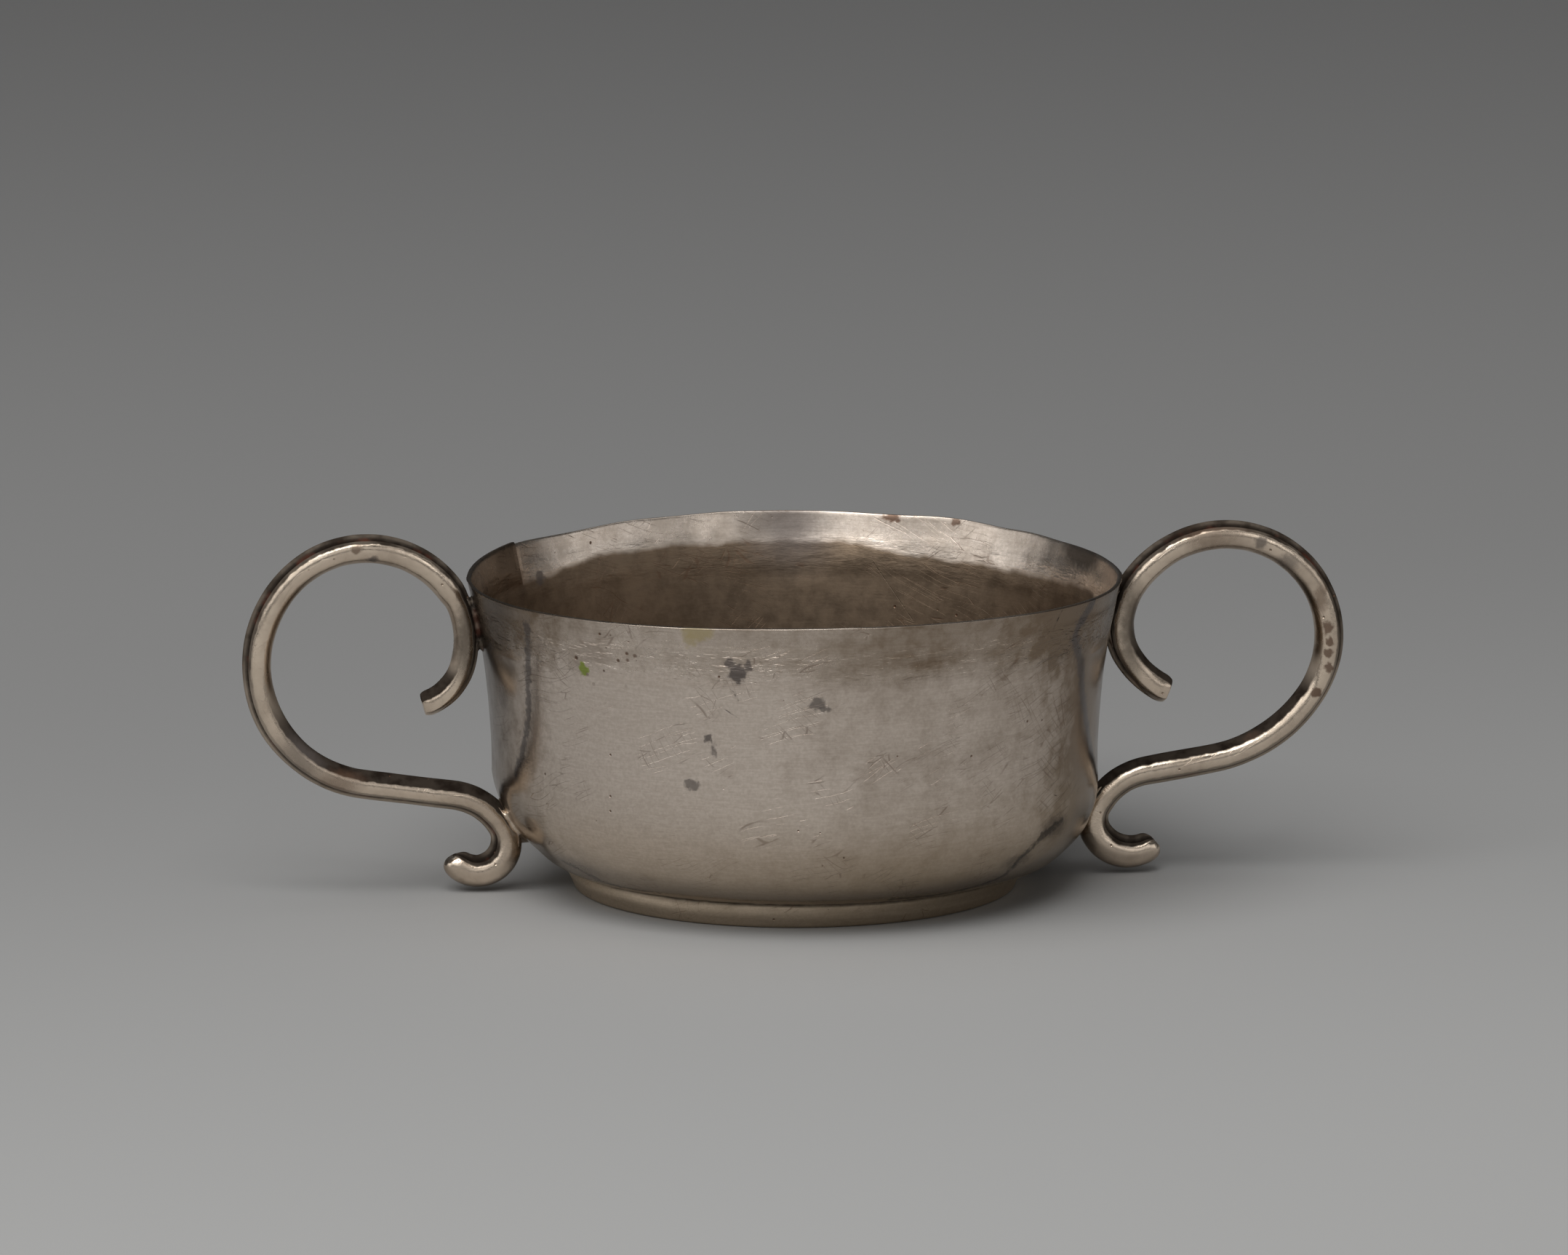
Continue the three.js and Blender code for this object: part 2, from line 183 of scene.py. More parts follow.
class SilverColours(bpy.types.PropertyGroup):
    """Colours of the silver and of what has settled on it, some also used for painted shade and reflections
    """

    bowl: colour("Bowl", "Rubbed silver of the bowl", (0.93, 0.815, 0.71))
    # bowl_dull also paints shade low on the belly, at the sides and under the rim.
    bowl_dull: colour("Dull bowl", "Tarnished silver of the bowl", (0.29, 0.215, 0.15))
    wire: colour("Wire", "Rubbed silver of the handles", (0.95, 0.795, 0.635))
    wire_dull: colour("Dull wire", "Tarnished silver of the handles", (0.25, 0.18, 0.125))
    warm: colour("Warm", "Yellow-brown tarnish low on the bowl", (0.50, 0.40, 0.28))
    # reed also paints the line over the foot, partly as shade in the crease.
    reed: colour("Reed", "Tarnish on the reeded outer side of the handles", (0.034, 0.026, 0.02))
    # groove also paints shade: at the outer sides and deep inside the bowl, in the gaps where the handles
    # meet the bowl, and on the upper solder.
    groove: colour("Groove", "Dirt in the grooves and corners", (0.018, 0.013, 0.010))
    # stain also paints the reflections of the handles beside them, and shade in the light band inside.
    stain: colour("Stain", "Purple-grey sulphide stain", (0.155, 0.133, 0.124))
    brown: colour("Brown", "Brown tarnish spots", (0.17, 0.095, 0.06))
    copper: colour("Copper", "Red-brown patina by the solder", (0.17, 0.05, 0.03))
    green: colour("Green", "Green corrosion", (0.36, 0.45, 0.09))
    olive: colour("Olive", "Yellow-green residue at the rim", (0.58, 0.48, 0.28))


class StudioSettings(bpy.types.PropertyGroup):
    """Floor, lamps and camera"""

    # The floor colours paint the falloff of light from the front of the floor to the back.
    floor_front: colour("Floor front", "Colour of the floor before the cup", (0.40, 0.398, 0.392))
    floor_middle: colour("Floor middle", "Colour of the floor behind the cup", (0.285, 0.283, 0.28))
    floor_back: colour("Floor back", "Colour of the floor far behind", (0.262, 0.26, 0.258))
    room: colour("Room", "Colour of the dim room", (0.05, 0.05, 0.05))
    key: number("Key", "Power of the top softbox", 10, unit="POWER")
    left: number("Left", "Power of the left panel", 3.4, unit="POWER")
    right: number("Right", "Power of the right panel", 0.42, unit="POWER")
    front: number("Front", "Power of the wide front panel", 2.2, unit="POWER")
    side: number("Side", "Power of the far right panel", 1.75, unit="POWER")
    ceiling: number("Ceiling", "Power of the ceiling panel", 6, unit="POWER")
    lens: number("Lens", "Focal length", 267.16, unit="CAMERA")


def smooth_step(low, high, value):
    """Rise smoothly from 0 at low to 1 at high."""
    share = min(1, max(0, (value - low) / (high - low)))
    return share * share * (3 - 2 * share)


def swell_between(value, middle, half):
    """A smooth hump, 1 at the middle and 0 beyond half the width."""
    share = abs(value - middle) / half
    return 0 if share >= 1 else (1 - share * share) ** 2


class SideCurve:
    """The two arcs of the bowl's side: the belly below and the flared wall above."""

    def __init__(self, sizes):
        self.sizes = sizes
        self.belly_height = sizes.belly_height
        belly_rise = sizes.belly_height - sizes.groove_height
        wall_rise = sizes.rim_height - sizes.sheet / 2 - sizes.belly_height
        self.belly_curve = self.upright(sizes.belly_radius - sizes.groove_radius, belly_rise)
        self.wall_curve = self.upright(sizes.rim_radius - sizes.belly_radius, wall_rise)
        self.belly_centre = sizes.belly_radius - self.belly_curve
        self.wall_centre = sizes.belly_radius + self.wall_curve
        self.belly_start = math.atan2(belly_rise, sizes.groove_radius - self.belly_centre)
        self.wall_lean = math.asin(wall_rise / self.wall_curve)

    @staticmethod
    def upright(run, rise):
        """Radius of an arc that ends upright after this run and rise."""
        return (run * run + rise * rise) / (2 * run)

    def beside_belly(self, angle, offset):
        """Point at an offset outside the belly's arc, at an angle below its widest ring."""
        radius = self.belly_curve + offset
        out, up = self.belly_centre + radius * math.cos(angle), self.belly_height - radius * math.sin(angle)
        return Vector((out, up))

    def beside_wall(self, lean, offset):
        """Point at an offset outside the wall's arc, where it has leaned out by an angle."""
        radius = self.wall_curve - offset
        out, up = self.wall_centre - radius * math.cos(lean), self.belly_height + radius * math.sin(lean)
        return Vector((out, up))

    def seat_lean(self, handle):
        """How far the wall leans where a handle's loop passes it."""
        height = self.sizes.rim_height - self.sizes.rim_dip - handle["seat_drop"] * MM
        return math.asin((height - self.belly_height) / self.wall_curve)

    def shift_at(self, height):
        """How far the belly is pushed to the right at a height."""
        share = (height - self.sizes.foot_height) / (self.belly_height - self.sizes.foot_height)
        share = min(1, max(0, share))
        return self.sizes.belly_shift * math.sin(math.pi * math.sqrt(share))


def finish_object(bm, name, material, node_name):
    """Make an object from a bmesh, smooth it, and set it on the frame in place of a node."""
    mesh = bpy.data.meshes.new(name)
    bm.to_mesh(mesh)
    bm.free()
    mesh.shade_smooth()
    mesh.materials.append(material)
    obj = bpy.data.objects.new(name, mesh)
    bpy.context.scene.collection.objects.link(obj)
    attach(obj, "root")
    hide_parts(node_name)
    return obj


# The bowl
def draw_outline(bm, sizes, curve):
    """Draw the outside of the bowl from the middle of the base to the rim."""
    corner = sizes.base_radius + FOOT_CORNER * (sizes.foot_radius - sizes.base_radius)
    heights = (*FOOT_RING_HEIGHTS, sizes.foot_height, sizes.groove_height - UNDER_GROOVE)
    band = [(sizes.foot_radius - drawn_in, up) for drawn_in, up in zip(FOOT_DRAWN_IN, heights)]
    bottom = [(0, 0), (sizes.base_radius, 0), (corner, FOOT_CORNER_HEIGHT)]
    groove = (sizes.groove_radius, sizes.groove_height)
    verts = [bm.verts.new((out, 0, up)) for out, up in (*bottom, *band, groove)]
    edges = [bm.edges.new(pair) for pair in zip(verts, verts[1:])]
    belly = bmesh.ops.spin(
        bm, geom=[verts[-1]], cent=(curve.belly_centre, 0, curve.belly_height),
        axis=(0, -1, 0), angle=curve.belly_start, steps=BELLY_STEPS,
    )["geom_last"]
    bmesh.ops.spin(
        bm, geom=belly, cent=(curve.wall_centre, 0, curve.belly_height),
        axis=(0, 1, 0), angle=curve.wall_lean, steps=WALL_STEPS,
    )
    bmesh.ops.subdivide_edges(bm, edges=edges[:1], cuts=9)
    bmesh.ops.subdivide_edges(bm, edges=edges[1:4], cuts=1)


def raise_sheet(bm, sizes):
    """Turn the outline round the cup's axis and give the shell its wall."""
    bmesh.ops.spin(
        bm, geom=bm.verts[:] + bm.edges[:], cent=(0, 0, 0), axis=(0, 0, 1),
        angle=2 * math.pi, steps=ROUND_STEPS, use_merge=True,
    )
    bmesh.ops.remove_doubles(bm, verts=bm.verts[:], dist=WELD)
    bmesh.ops.recalc_face_normals(bm, faces=bm.faces[:])
    inside = bm.verts.layers.float.new("inside")
    outer = set(bm.verts)
    bmesh.ops.solidify(bm, geom=bm.faces[:], thickness=sizes.sheet)
    for vert in bm.verts:
        vert[inside] = 0 if vert in outer else 1
    return inside


def soften_rim(bm, sizes):
    """Round the two edges of the sheet at the rim."""
    top = max(vert.co.z for vert in bm.verts)
    rounding, sharp = 0.3 * sizes.sheet, 0.8
    edges = [
        edge for edge in bm.edges
        if min(vert.co.z for vert in edge.verts) > top - rounding and edge.calc_face_angle(0) > sharp
    ]
    bmesh.ops.bevel(
        bm, geom=edges, offset=rounding, segments=3, profile=0.5, affect="EDGES", material=-1,
    )


def rim_rise(degrees):
    """Height in mm that the rim gains at a place round it."""
    rise = sum(swell_between(degrees, middle, half) * up for middle, half, up in RIM_RISES)
    if LAP_END < degrees < LAP_START:
        rise = LAP_RISE * smooth_step(LAP_START, LAP_END + 2, degrees)
    turn = math.radians(degrees)
    waver = noise.noise(Vector((math.cos(turn), math.sin(turn), 0)) * 4)
    return rise + 0.05 * waver


def planish(place, size):
    """Height in mm of flat hammer marks of a size at a place on the unrolled side."""
    near = noise.voronoi(place / size, distance_metric="DISTANCE", exponent=2.5)[0][0]
    return near * near * size * size


def hammer_marks(place, up, within):
    """Height in mm of the marks on the outside or the inside, at a height in mm."""
    rim_rows = swell_between(up, *RIM_ROWS)
    if within:
        shallow, at_rim = INNER_DEPTHS
        return -planish(place, INNER_MARKS) * (shallow + at_rim * rim_rows)
    shallow, at_rim, low_down = OUTER_DEPTHS
    low_rows = swell_between(up, *LOW_ROWS)
    return planish(place, OUTER_MARKS) * (shallow + low_down * low_rows + at_rim * rim_rows)


def slow_waves(place):
    """Height in mm of the sheet's slow unevenness at a place in mm."""
    return sum(noise.noise(place * scale + Vector(start)) * high for scale, high, start in SLOW_WAVES)


def lap_inwards(degrees, down):
    """How far in mm the lap is folded in, at a place round the rim and a depth in mm below it."""
    fold = LAP_END - (LAP_END - FOLD_BOTTOM) * down / FOLD_DEPTH
    if not max(fold, LAP_END - 0.3) < degrees < LAP_START:
        return 0
    fading = smooth_step(FOLD_DEPTH + 3, FOLD_DEPTH - 1.5, down)
    return LAP_DEPTH * fading * smooth_step(LAP_START, LAP_END + 12, degrees)


def hand_work(bm, inside, sizes, curve):
    """Move the turned shell to its hand-made shape: uneven rim, off-centre belly, hammer marks."""
    for vert in bm.verts:
        x, y, z = vert.co
        radius = math.hypot(x, y)
        if radius < 1 * MM:
            continue
        turn, within = math.atan2(y, x), vert[inside]
        degrees = math.degrees(turn)
        high = smooth_step(curve.belly_height, sizes.rim_height, z)
        above_foot = smooth_step(MARKS_FROM, MARKS_FULL, z)
        marks = hammer_marks(Vector((turn * DRUM, z / MM, 40 * within)), z / MM, within)
        out = (marks + slow_waves(Vector((x, y, z)) / MM) * high) * MM * above_foot
        if within:
            out -= lap_inwards(degrees, (sizes.rim_height - z) / MM) * MM
            out += THIN_RIM * smooth_step(THIN_FROM, sizes.rim_height - 1 * MM, z)
        else:
            at_side = smooth_step(SWELL_FROM, SWELL_FULL, abs(x))
            out += FOOT_SWELL * swell_between(z / MM, *FOOT_ROWS) * at_side
        near_rim = smooth_step(RIM_BENT_FROM, sizes.rim_height, z)
        vert.co += Vector((x, y, 0)) / radius * out
        vert.co.x += curve.shift_at(z)
        vert.co.z += rim_rise(degrees) * MM * near_rim - sizes.rim_dip * math.cos(2 * turn) * high


def keep_in_box(bm, node_name):
    """Hold the vertices within the box of the solid that the piece stands for."""
    low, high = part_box(node_name)
    for vert in bm.verts:
        for axis in range(3):
            vert.co[axis] = min(high[axis], max(low[axis], vert.co[axis]))


# Nodes of the materials
def put(socket, value):
    """Link a socket to another's output, or give it a plain value."""
    if isinstance(value, bpy.types.NodeSocket):
        socket.id_data.links.new(value, socket)
    else:
        socket.default_value = value


def node(kind, inputs, tree=None, **settings):
    """Add a shader node beside what feeds it, make its settings, and fill its inputs."""
    feeds = [value for value in inputs.values() if isinstance(value, bpy.types.NodeSocket)]
    made = (tree or feeds[0].id_data).nodes.new("ShaderNode" + kind)
    for name, value in settings.items():
        setattr(made, name, value)
    for key, value in inputs.items():
        put(made.inputs[key], value)
    return made


def calc(operation, *values, clamp=False):
    """A Math node's result."""
    return node("Math", dict(enumerate(values)), operation=operation, use_clamp=clamp).outputs[0]


def chain(operation, first, *others):
    """The result of taking in values one after another."""
    for other in others:
        first = calc(operation, first, other)
    return first


plus = partial(chain, "ADD")
minus = partial(chain, "SUBTRACT")
times = partial(chain, "MULTIPLY")
highest = partial(chain, "MAXIMUM")


def beside(value, middle):
    """How far a value is from a middle one."""
    return calc("ABSOLUTE", minus(value, middle))


def vector(operation, *values, result="Vector", **more):
    """A Vector Math node's result."""
    inputs = {**dict(enumerate(values)), **more}
    return node("VectorMath", inputs, operation=operation).outputs[result]


def parts(place):
    """The three numbers of a place."""
    return node("SeparateXYZ", {"Vector": place}).outputs


def span(value, start, end, low=0, high=1):
    """Pass smoothly from low to high as a value goes from start to end."""
    limits = {"Value": value, "From Min": start, "From Max": end, "To Min": low, "To Max": high}
    return node("MapRange", limits, interpolation_type="SMOOTHSTEP").outputs["Result"]


def blend(share, first, second):
    """Mix two colours by a share."""
    return node("Mix", {0: share, 6: first, 7: second}, data_type="RGBA").outputs[2]


def clouds(place, scale, detail=3, rough=0.55, twist=0, result="Fac"):
    """Noise between 0 and 1 at a place in mm."""
    look = {"Scale": scale, "Detail": detail, "Roughness": rough, "Distortion": twist}
    return node("TexNoise", {"Vector": place, **look}).outputs[result]


def torn(place, scale, reach):
    """A place moved about by up to half a reach, so that the edges of marks come out ragged."""
    ragged = vector("SUBTRACT", clouds(place, scale, 3, 0.5, result="Color"), (0.5, 0.5, 0.5))
    return vector("ADD", place, vector("MULTIPLY", ragged, (reach, reach, reach)))


def attribute(beside_socket, name, result="Fac"):
    """What the mesh holds under a name."""
    return node("Attribute", {}, beside_socket.id_data, attribute_name=name).outputs[result]


SHARED_EFFECTS = {}
ORIGIN = (0, 0, 0)


def shared_effect(results, **inputs):
    """Turn a function of sockets into a node group that is built when it is first used."""
    def enlist(work):
        """Keep how the group is built, under the function's name."""
        def build():
            """Make the group, its named sockets, and the nodes between them."""
            tree = bpy.data.node_groups.new(work.__name__, "ShaderNodeTree")
            for label, default in inputs.items():
                kind = "NodeSocketVector" if isinstance(default, tuple) else "NodeSocketFloat"
                socket = tree.interface.new_socket(label, in_out="INPUT", socket_type=kind)
                socket.default_value = default
            for label, kind in results.items():
                tree.interface.new_socket(label, in_out="OUTPUT", socket_type="NodeSocket" + kind)
            given = tree.nodes.new("NodeGroupInput").outputs[:len(inputs)]
            made = work(*given)
            for socket, value in zip(tree.nodes.new("NodeGroupOutput").inputs, made):
                put(socket, value)
            return tree
        SHARED_EFFECTS[work.__name__] = build
        return build
    return enlist


def use(name, **inputs):
    """Place a shared effect and fill its inputs; its one result, or all of them."""
    group = bpy.data.node_groups.get(name) or SHARED_EFFECTS[name]()
    results = node("Group", inputs, node_tree=group).outputs
    return results[0] if len(results) == 1 else results


@shared_effect({"Millimetres": "Vector", "Unrolled": "Vector"}, Place=ORIGIN)
def unrolled(place):
    """Places in mm, and the same places unrolled from the cup: round, up and out."""
    mm = vector("MULTIPLY", place, (1000, 1000, 1000))
    x, y, z = parts(mm)
    radius = calc("SQRT", plus(calc("POWER", x, 2), calc("POWER", y, 2)))
    rolled = {"X": times(calc("ARCTAN2", y, x), DRUM), "Y": z, "Z": radius}
    return mm, node("CombineXYZ", rolled).outputs["Vector"]


@shared_effect(
    {"Mask": "Float"}, Place=ORIGIN, Centre=ORIGIN, Reach=(1, 1, 1), Softness=0.3, Strength=1,
)
def spot(place, centre, reach, softness, strength):
    """One spot with a soft or ragged edge, as a mask."""
    away = vector("DIVIDE", vector("SUBTRACT", place, centre), reach)
    far = vector("LENGTH", away, result="Value")
    return [times(span(far, plus(1, softness), minus(1, softness)), strength)]


@shared_effect(
    {"Mask": "Float"}, Place=ORIGIN, Start=ORIGIN, End=(1, 0, 0), Width=0.1, Strength=1,
)
def line_mark(place, start, end, width, strength):
    """A thin mark from one point to another, as a mask."""
    along = vector("SUBTRACT", end, start)
    away = vector("SUBTRACT", place, start)
    reached = vector("DOT_PRODUCT", away, along, result="Value")
    whole = vector("DOT_PRODUCT", along, along, result="Value")
    share = calc("DIVIDE", reached, whole, clamp=True)
    rest = vector("SUBTRACT", away, vector("SCALE", along, Scale=share))
    far = vector("LENGTH", rest, result="Value")
    return [times(span(far, width, times(width, 0.3)), strength)]


@shared_effect({"Mask": "Float"}, Place=ORIGIN, Spacing=2, Size=0.15, Share=0.3)
def pits(place, spacing, size, share):
    """Small round pits strewn unevenly, as a mask."""
    scale = calc("DIVIDE", 1, spacing)
    cells = node("TexVoronoi", {"Vector": place, "Scale": scale}, feature="F1").outputs
    chance = node("SeparateColor", {"Color": cells["Color"]}).outputs
    some = calc("LESS_THAN", chance["Red"], share)
    far = times(cells["Distance"], spacing)
    reach = times(size, span(chance["Green"], 0, 1, low=0.4))
    return [times(span(far, reach, times(reach, 0.4)), some)]


@shared_effect({"Height": "Float"}, Place=ORIGIN, Stretch=(1, 1, 1), Scale=4)
def rubbing(place, stretch, scale):
    """Fine lines left by rubbing and use, as a height between 0 and 1."""
    return [clouds(vector("MULTIPLY", place, stretch), scale, 4, 0.7)]


@shared_effect({"Mask": "Float"}, Place=ORIGIN, Turn=0, Scale=0.35, Share=0.5)
def hairlines(place, turn, scale, share):
    """Sparse hairline scratches, as a mask."""
    turning = {"Vector": place, "Angle": turn}
    turned = node("VectorRotate", turning, rotation_type="Z_AXIS").outputs["Vector"]
    bend = vector("MULTIPLY", clouds(turned, 0.08, 1, 0.5, result="Color"), (5, 5, 5))
    thin = vector("MULTIPLY", vector("ADD", turned, bend), (0.09, 2.6, 1))
    cells = node("TexVoronoi", {"Vector": thin, "Scale": scale}, feature="DISTANCE_TO_EDGE")
    some = span(clouds(place, 0.16, 2), share, plus(share, 0.08))
    return [times(span(cells.outputs["Distance"], 0.018, 0.004), some)]


def rgba(value):
    """A colour socket's value from three numbers."""
    return (*value, 1.0)


def palette_of(colours):
    """The colours of the panel by name, as socket values."""
    return {name: rgba(getattr(colours, name)) for name in SilverColours.__annotations__}


def new_material(name):
    """A node material, its shader, and its places in mm as they are and unrolled from the cup."""
    material = bpy.data.materials.new(name)
    material.use_nodes = True
    tree = material.node_tree
    mm, side_mm = use("unrolled", Place=node("TexCoord", {}, tree).outputs["Object"])
    return material, tree.nodes["Principled BSDF"], mm, side_mm


def finish_shader(shader, tone, rough, relief, metal, specular=0):
    """Give the shader its colour, roughness and metal, and its relief in mm."""
    bump = node("Bump", {"Height": relief, "Strength": 1, "Distance": MM}).outputs["Normal"]
    looks = {"Base Color": tone, "Roughness": rough, "Metallic": metal, "Normal": bump}
    for name, value in looks.items():
        put(shader.inputs[name], value)
    shader.inputs["Specular IOR Level"].default_value = specular


# Marks on the outside of the bowl: name, colour, centre and reach in mm, softness, strength
OUTER_SPOTS = [
    ("rim residue", "olive", (-15.5, -33.4, 35.5), (1.7, 1.6, 0.9), 0.35, 0.85),
    ("residue tail", "olive", (-16.2, -32.8, 34.6), (0.7, 0.8, 0.9), 0.4, 0.7),
    ("green spot", "green", (-26.9, -23.6, 29.8), (0.7, 0.7, 0.75), 0.3, 0.95),
    ("hook stain", "stain", (-11.1, -34.0, 30.9), (0.95, 1.2, 1.1), 0.25, 0.9),
    ("hook arm", "stain", (-10.0, -34.6, 31.8), (0.45, 0.8, 0.9), 0.3, 0.8),
    ("hook end", "stain", (-12.0, -34.0, 32.1), (0.55, 0.8, 0.5), 0.3, 0.8),
    ("round stain", "stain", (-2.4, -35.2, 27.5), (0.85, 1.0, 0.75), 0.3, 0.75),
    ("round stain tail", "stain", (-1.6, -35.2, 26.9), (0.6, 1.0, 0.45), 0.3, 0.7),
    ("middle drop", "stain", (-14.1, -31.8, 23.2), (0.42, 0.8, 0.5), 0.3, 0.85),
    ("middle drop trail", "stain", (-13.6, -32.0, 22.0), (0.3, 0.8, 0.7), 0.5, 0.7),
    ("low drop", "stain", (-15.8, -30.5, 17.9), (0.8, 0.9, 0.5), 0.3, 0.7),
    ("brown at left", "brown", (-26.1, -25.2, 31.9), (2.4, 2.4, 1.6), 0.8, 0.22),
    ("dark at right foot", "groove", (26.4, -21.5, 10.0), (2.2, 2.8, 1.3), 0.5, 0.5),
    ("dark over foot", "groove", (21.3, -24.0, 6.9), (2.0, 2.4, 0.9), 0.5, 0.45),
    ("dark at left foot", "stain", (-26.5, -14.5, 5.4), (3.0, 4.0, 1.3), 0.7, 0.4),
    # A painted reflection of the left handle, beside it.
    ("left painted reflection", "stain", (-34.2, -7.3, 23.8), (1.2, 1.4, 1.6), 0.7, 0.5),
]

# Scratches and cracks: start, end, width in mm, strength, and whether it is inside the bowl
LINE_MARKS = [
    ((26.4, -25.8, 35.6), (25.4, -26.2, 33.5), 0.16, 0.8, 0),
    ((2.6, -34.2, 15.2), (10.5, -32.3, 13.3), 0.06, 0.5, 0),
    ((10.5, -32.3, 13.3), (18.7, -28.6, 11.7), 0.06, 0.45, 0),
    ((21.2, -27.0, 16.0), (26.6, -21.7, 13.6), 0.06, 0.5, 0),
    ((-12.4, -33.0, 26.7), (-10.9, -33.4, 25.7), 0.12, 0.6, 0),
    ((-11.6, -33.6, 28.9), (-11.0, -33.6, 27.8), 0.12, 0.6, 0),
    ((-29.3, 21.4, 35.9), (-28.6, 21.9, 34.2), 0.16, 1.0, 1),
    ((-28.6, 21.9, 34.2), (-27.8, 22.4, 33.2), 0.12, 0.8, 1),
    ((-29.6, 20.3, 33.0), (-28.8, 21.2, 32.7), 0.14, 0.9, 1),
    ((12.7, 33.1, 32.2), (17.9, 29.3, 24.3), 0.06, 0.5, 1),
    ((25.3, 25.9, 35.4), (26.0, 24.6, 33.2), 0.08, 0.5, 1),
]

# Soft dark streaks, as points, width in mm, strength, colour: the two beside the handles are painted
# reflections of the handles, the two over the foot are tarnish
STREAKS = [
    (
        [(-32.4, -16.9, 33.6), (-32.2, -15.1, 28.3), (-31.9, -13.7, 22.4), (-32.4, -11.8, 18.4),
         (-32.9, -9.7, 15.3)], 0.85, 0.8, "stain",
    ),
    (
        [(30.9, -20.4, 35.3), (28.9, -22.2, 32.7), (28.5, -22.5, 31.5), (29.6, -20.1, 28.4),
         (30.4, -17.6, 23.8), (31.6, -14.6, 19.0), (33.0, -9.8, 13.0)], 1.2, 0.9, "stain",
    ),
    (
        [(27.3, -20.5, 10.7), (24.6, -23.2, 9.4), (21.8, -24.4, 7.1), (20.3, -23.2, 5.0),
         (14.6, -24.6, 3.6), (7.0, -27.6, 3.4)], 0.7, 0.7, "groove",
    ),
    (
        [(-28.2, -11.9, 6.0), (-26.1, -14.5, 5.2), (-23.8, -16.0, 4.2), (-18.0, -22.0, 3.5)],
        0.55, 0.55, "groove",
    ),
]

# Marks on the inside of the bowl, listed as those on the outside are
INNER_SPOTS = [
    ("square stain", "stain", (-26.1, 23.9, 31.4), (0.9, 0.9, 0.8), 0.3, 0.8),
    ("rim spot", "brown", (15.9, 32.7, 35.7), (1.2, 1.0, 0.6), 0.4, 0.9),
    ("second rim spot", "brown", (22.8, 28.3, 35.7), (0.6, 0.6, 0.4), 0.4, 0.8),
    ("dark at right", "groove", (34.6, 11.0, 34.9), (2.4, 5.0, 1.6), 0.35, 0.75),
    # Painted shade: darkens a part of the reflected light band inside, at the back.
    ("painted shade behind", "stain", (4.4, 36.4, 34.6), (4.6, 4.0, 4.4), 0.8, 0.8),
]

# How much rougher the silver is under a spot
SPOT_ROUGHNESS = 0.18

# Heights in mm on the bowl's side that its finish follows
GROOVE_LINE = 2.85
LOW_FACETS = 9
RIM_RIDGES = 31.4

# The speckled patch near the rim at the left front: its middle and reach in mm
SPECKLED_AT, SPECKLED_REACH = (-25.6, -25.2, 32.4), (6.5, 6.5, 3.8)


def lay_spots(spots, place, side, palette, tone, rough):
    """Lay a list of spots over a colour, and dull the surface where they lie."""
    for name, paint, centre, reach, softness, strength in spots:
        mask = use(
            "spot", Place=place, Centre=centre, Reach=reach, Softness=softness, Strength=strength,
        )
        mask.node.label = name
        mask = times(mask, side)
        tone = blend(mask, tone, palette[paint])
        rough = plus(rough, times(mask, SPOT_ROUGHNESS))
    return tone, rough


def stroke(place, start, end, width, strength):
    """The mask of one straight mark."""
    return use("line_mark", Place=place, Start=start, End=end, Width=width, Strength=strength)


def bowl_tarnish_and_shade(mm, side_mm, bloom, cloudy, inside, outside):
    """How far the silver is dulled by tarnish and by painted shade, how deep inside the bowl it is, and
    where the lap covers it.
    """
    across, height = parts(mm)["X"], parts(side_mm)["Y"]
    sideways = beside(across, -2)
    streaks = use("rubbing", Place=side_mm, Stretch=(0.12, 1, 0.2), Scale=0.6)
    # Tarnish in clouds and streaks, and painted shade: darker from 14 mm down towards the foot.
    dull = plus(
        span(bloom, 0.35, 0.7, high=0.28), span(cloudy, 0.4, 0.7, high=0.2),
        span(streaks, 0.45, 0.8, high=0.14), span(height, 14, 2, high=0.52),
        span(height, 3, 2.6, high=-0.4),
    )
    # Painted shade towards the left and right edges of the wall, and painted light: lighter on the left than
    # on the right.
    sides = plus(
        span(plus(sideways, times(cloudy, 6)), 26, 38, high=0.85),
        span(across, -24, 24, -0.36, 0.2), span(sideways, 31, 35.5, high=0.5),
    )
    # Darker under the rim: partly tarnish, partly painted shade.
    upper = span(plus(height, times(cloudy, 2)), 29.2, 33, high=0.42)
    # Inside, darker below the light band near the rim: partly tarnish, partly painted shade.
    scallop = clouds(side_mm, 0.2, 2, 0.5, 0.4)
    band = plus(height, times(scallop, 1.6), span(sideways, 11, 27, low=-0.5), cloudy)
    depth = span(band, 34.1, 32.9)
    lap = math.radians(LAP_END)
    past_lap = vector("DOT_PRODUCT", mm, (-math.sin(lap), math.cos(lap), 0), result="Value")
    lapped = times(span(past_lap, -0.15, 0.15), span(across, -6, -14))
    outer = times(plus(dull, sides, upper), outside)
    inner = times(calc("ADD", dull, highest(depth, lapped), clamp=True), inside)
    return calc("ADD", outer, inner, clamp=True), depth, lapped


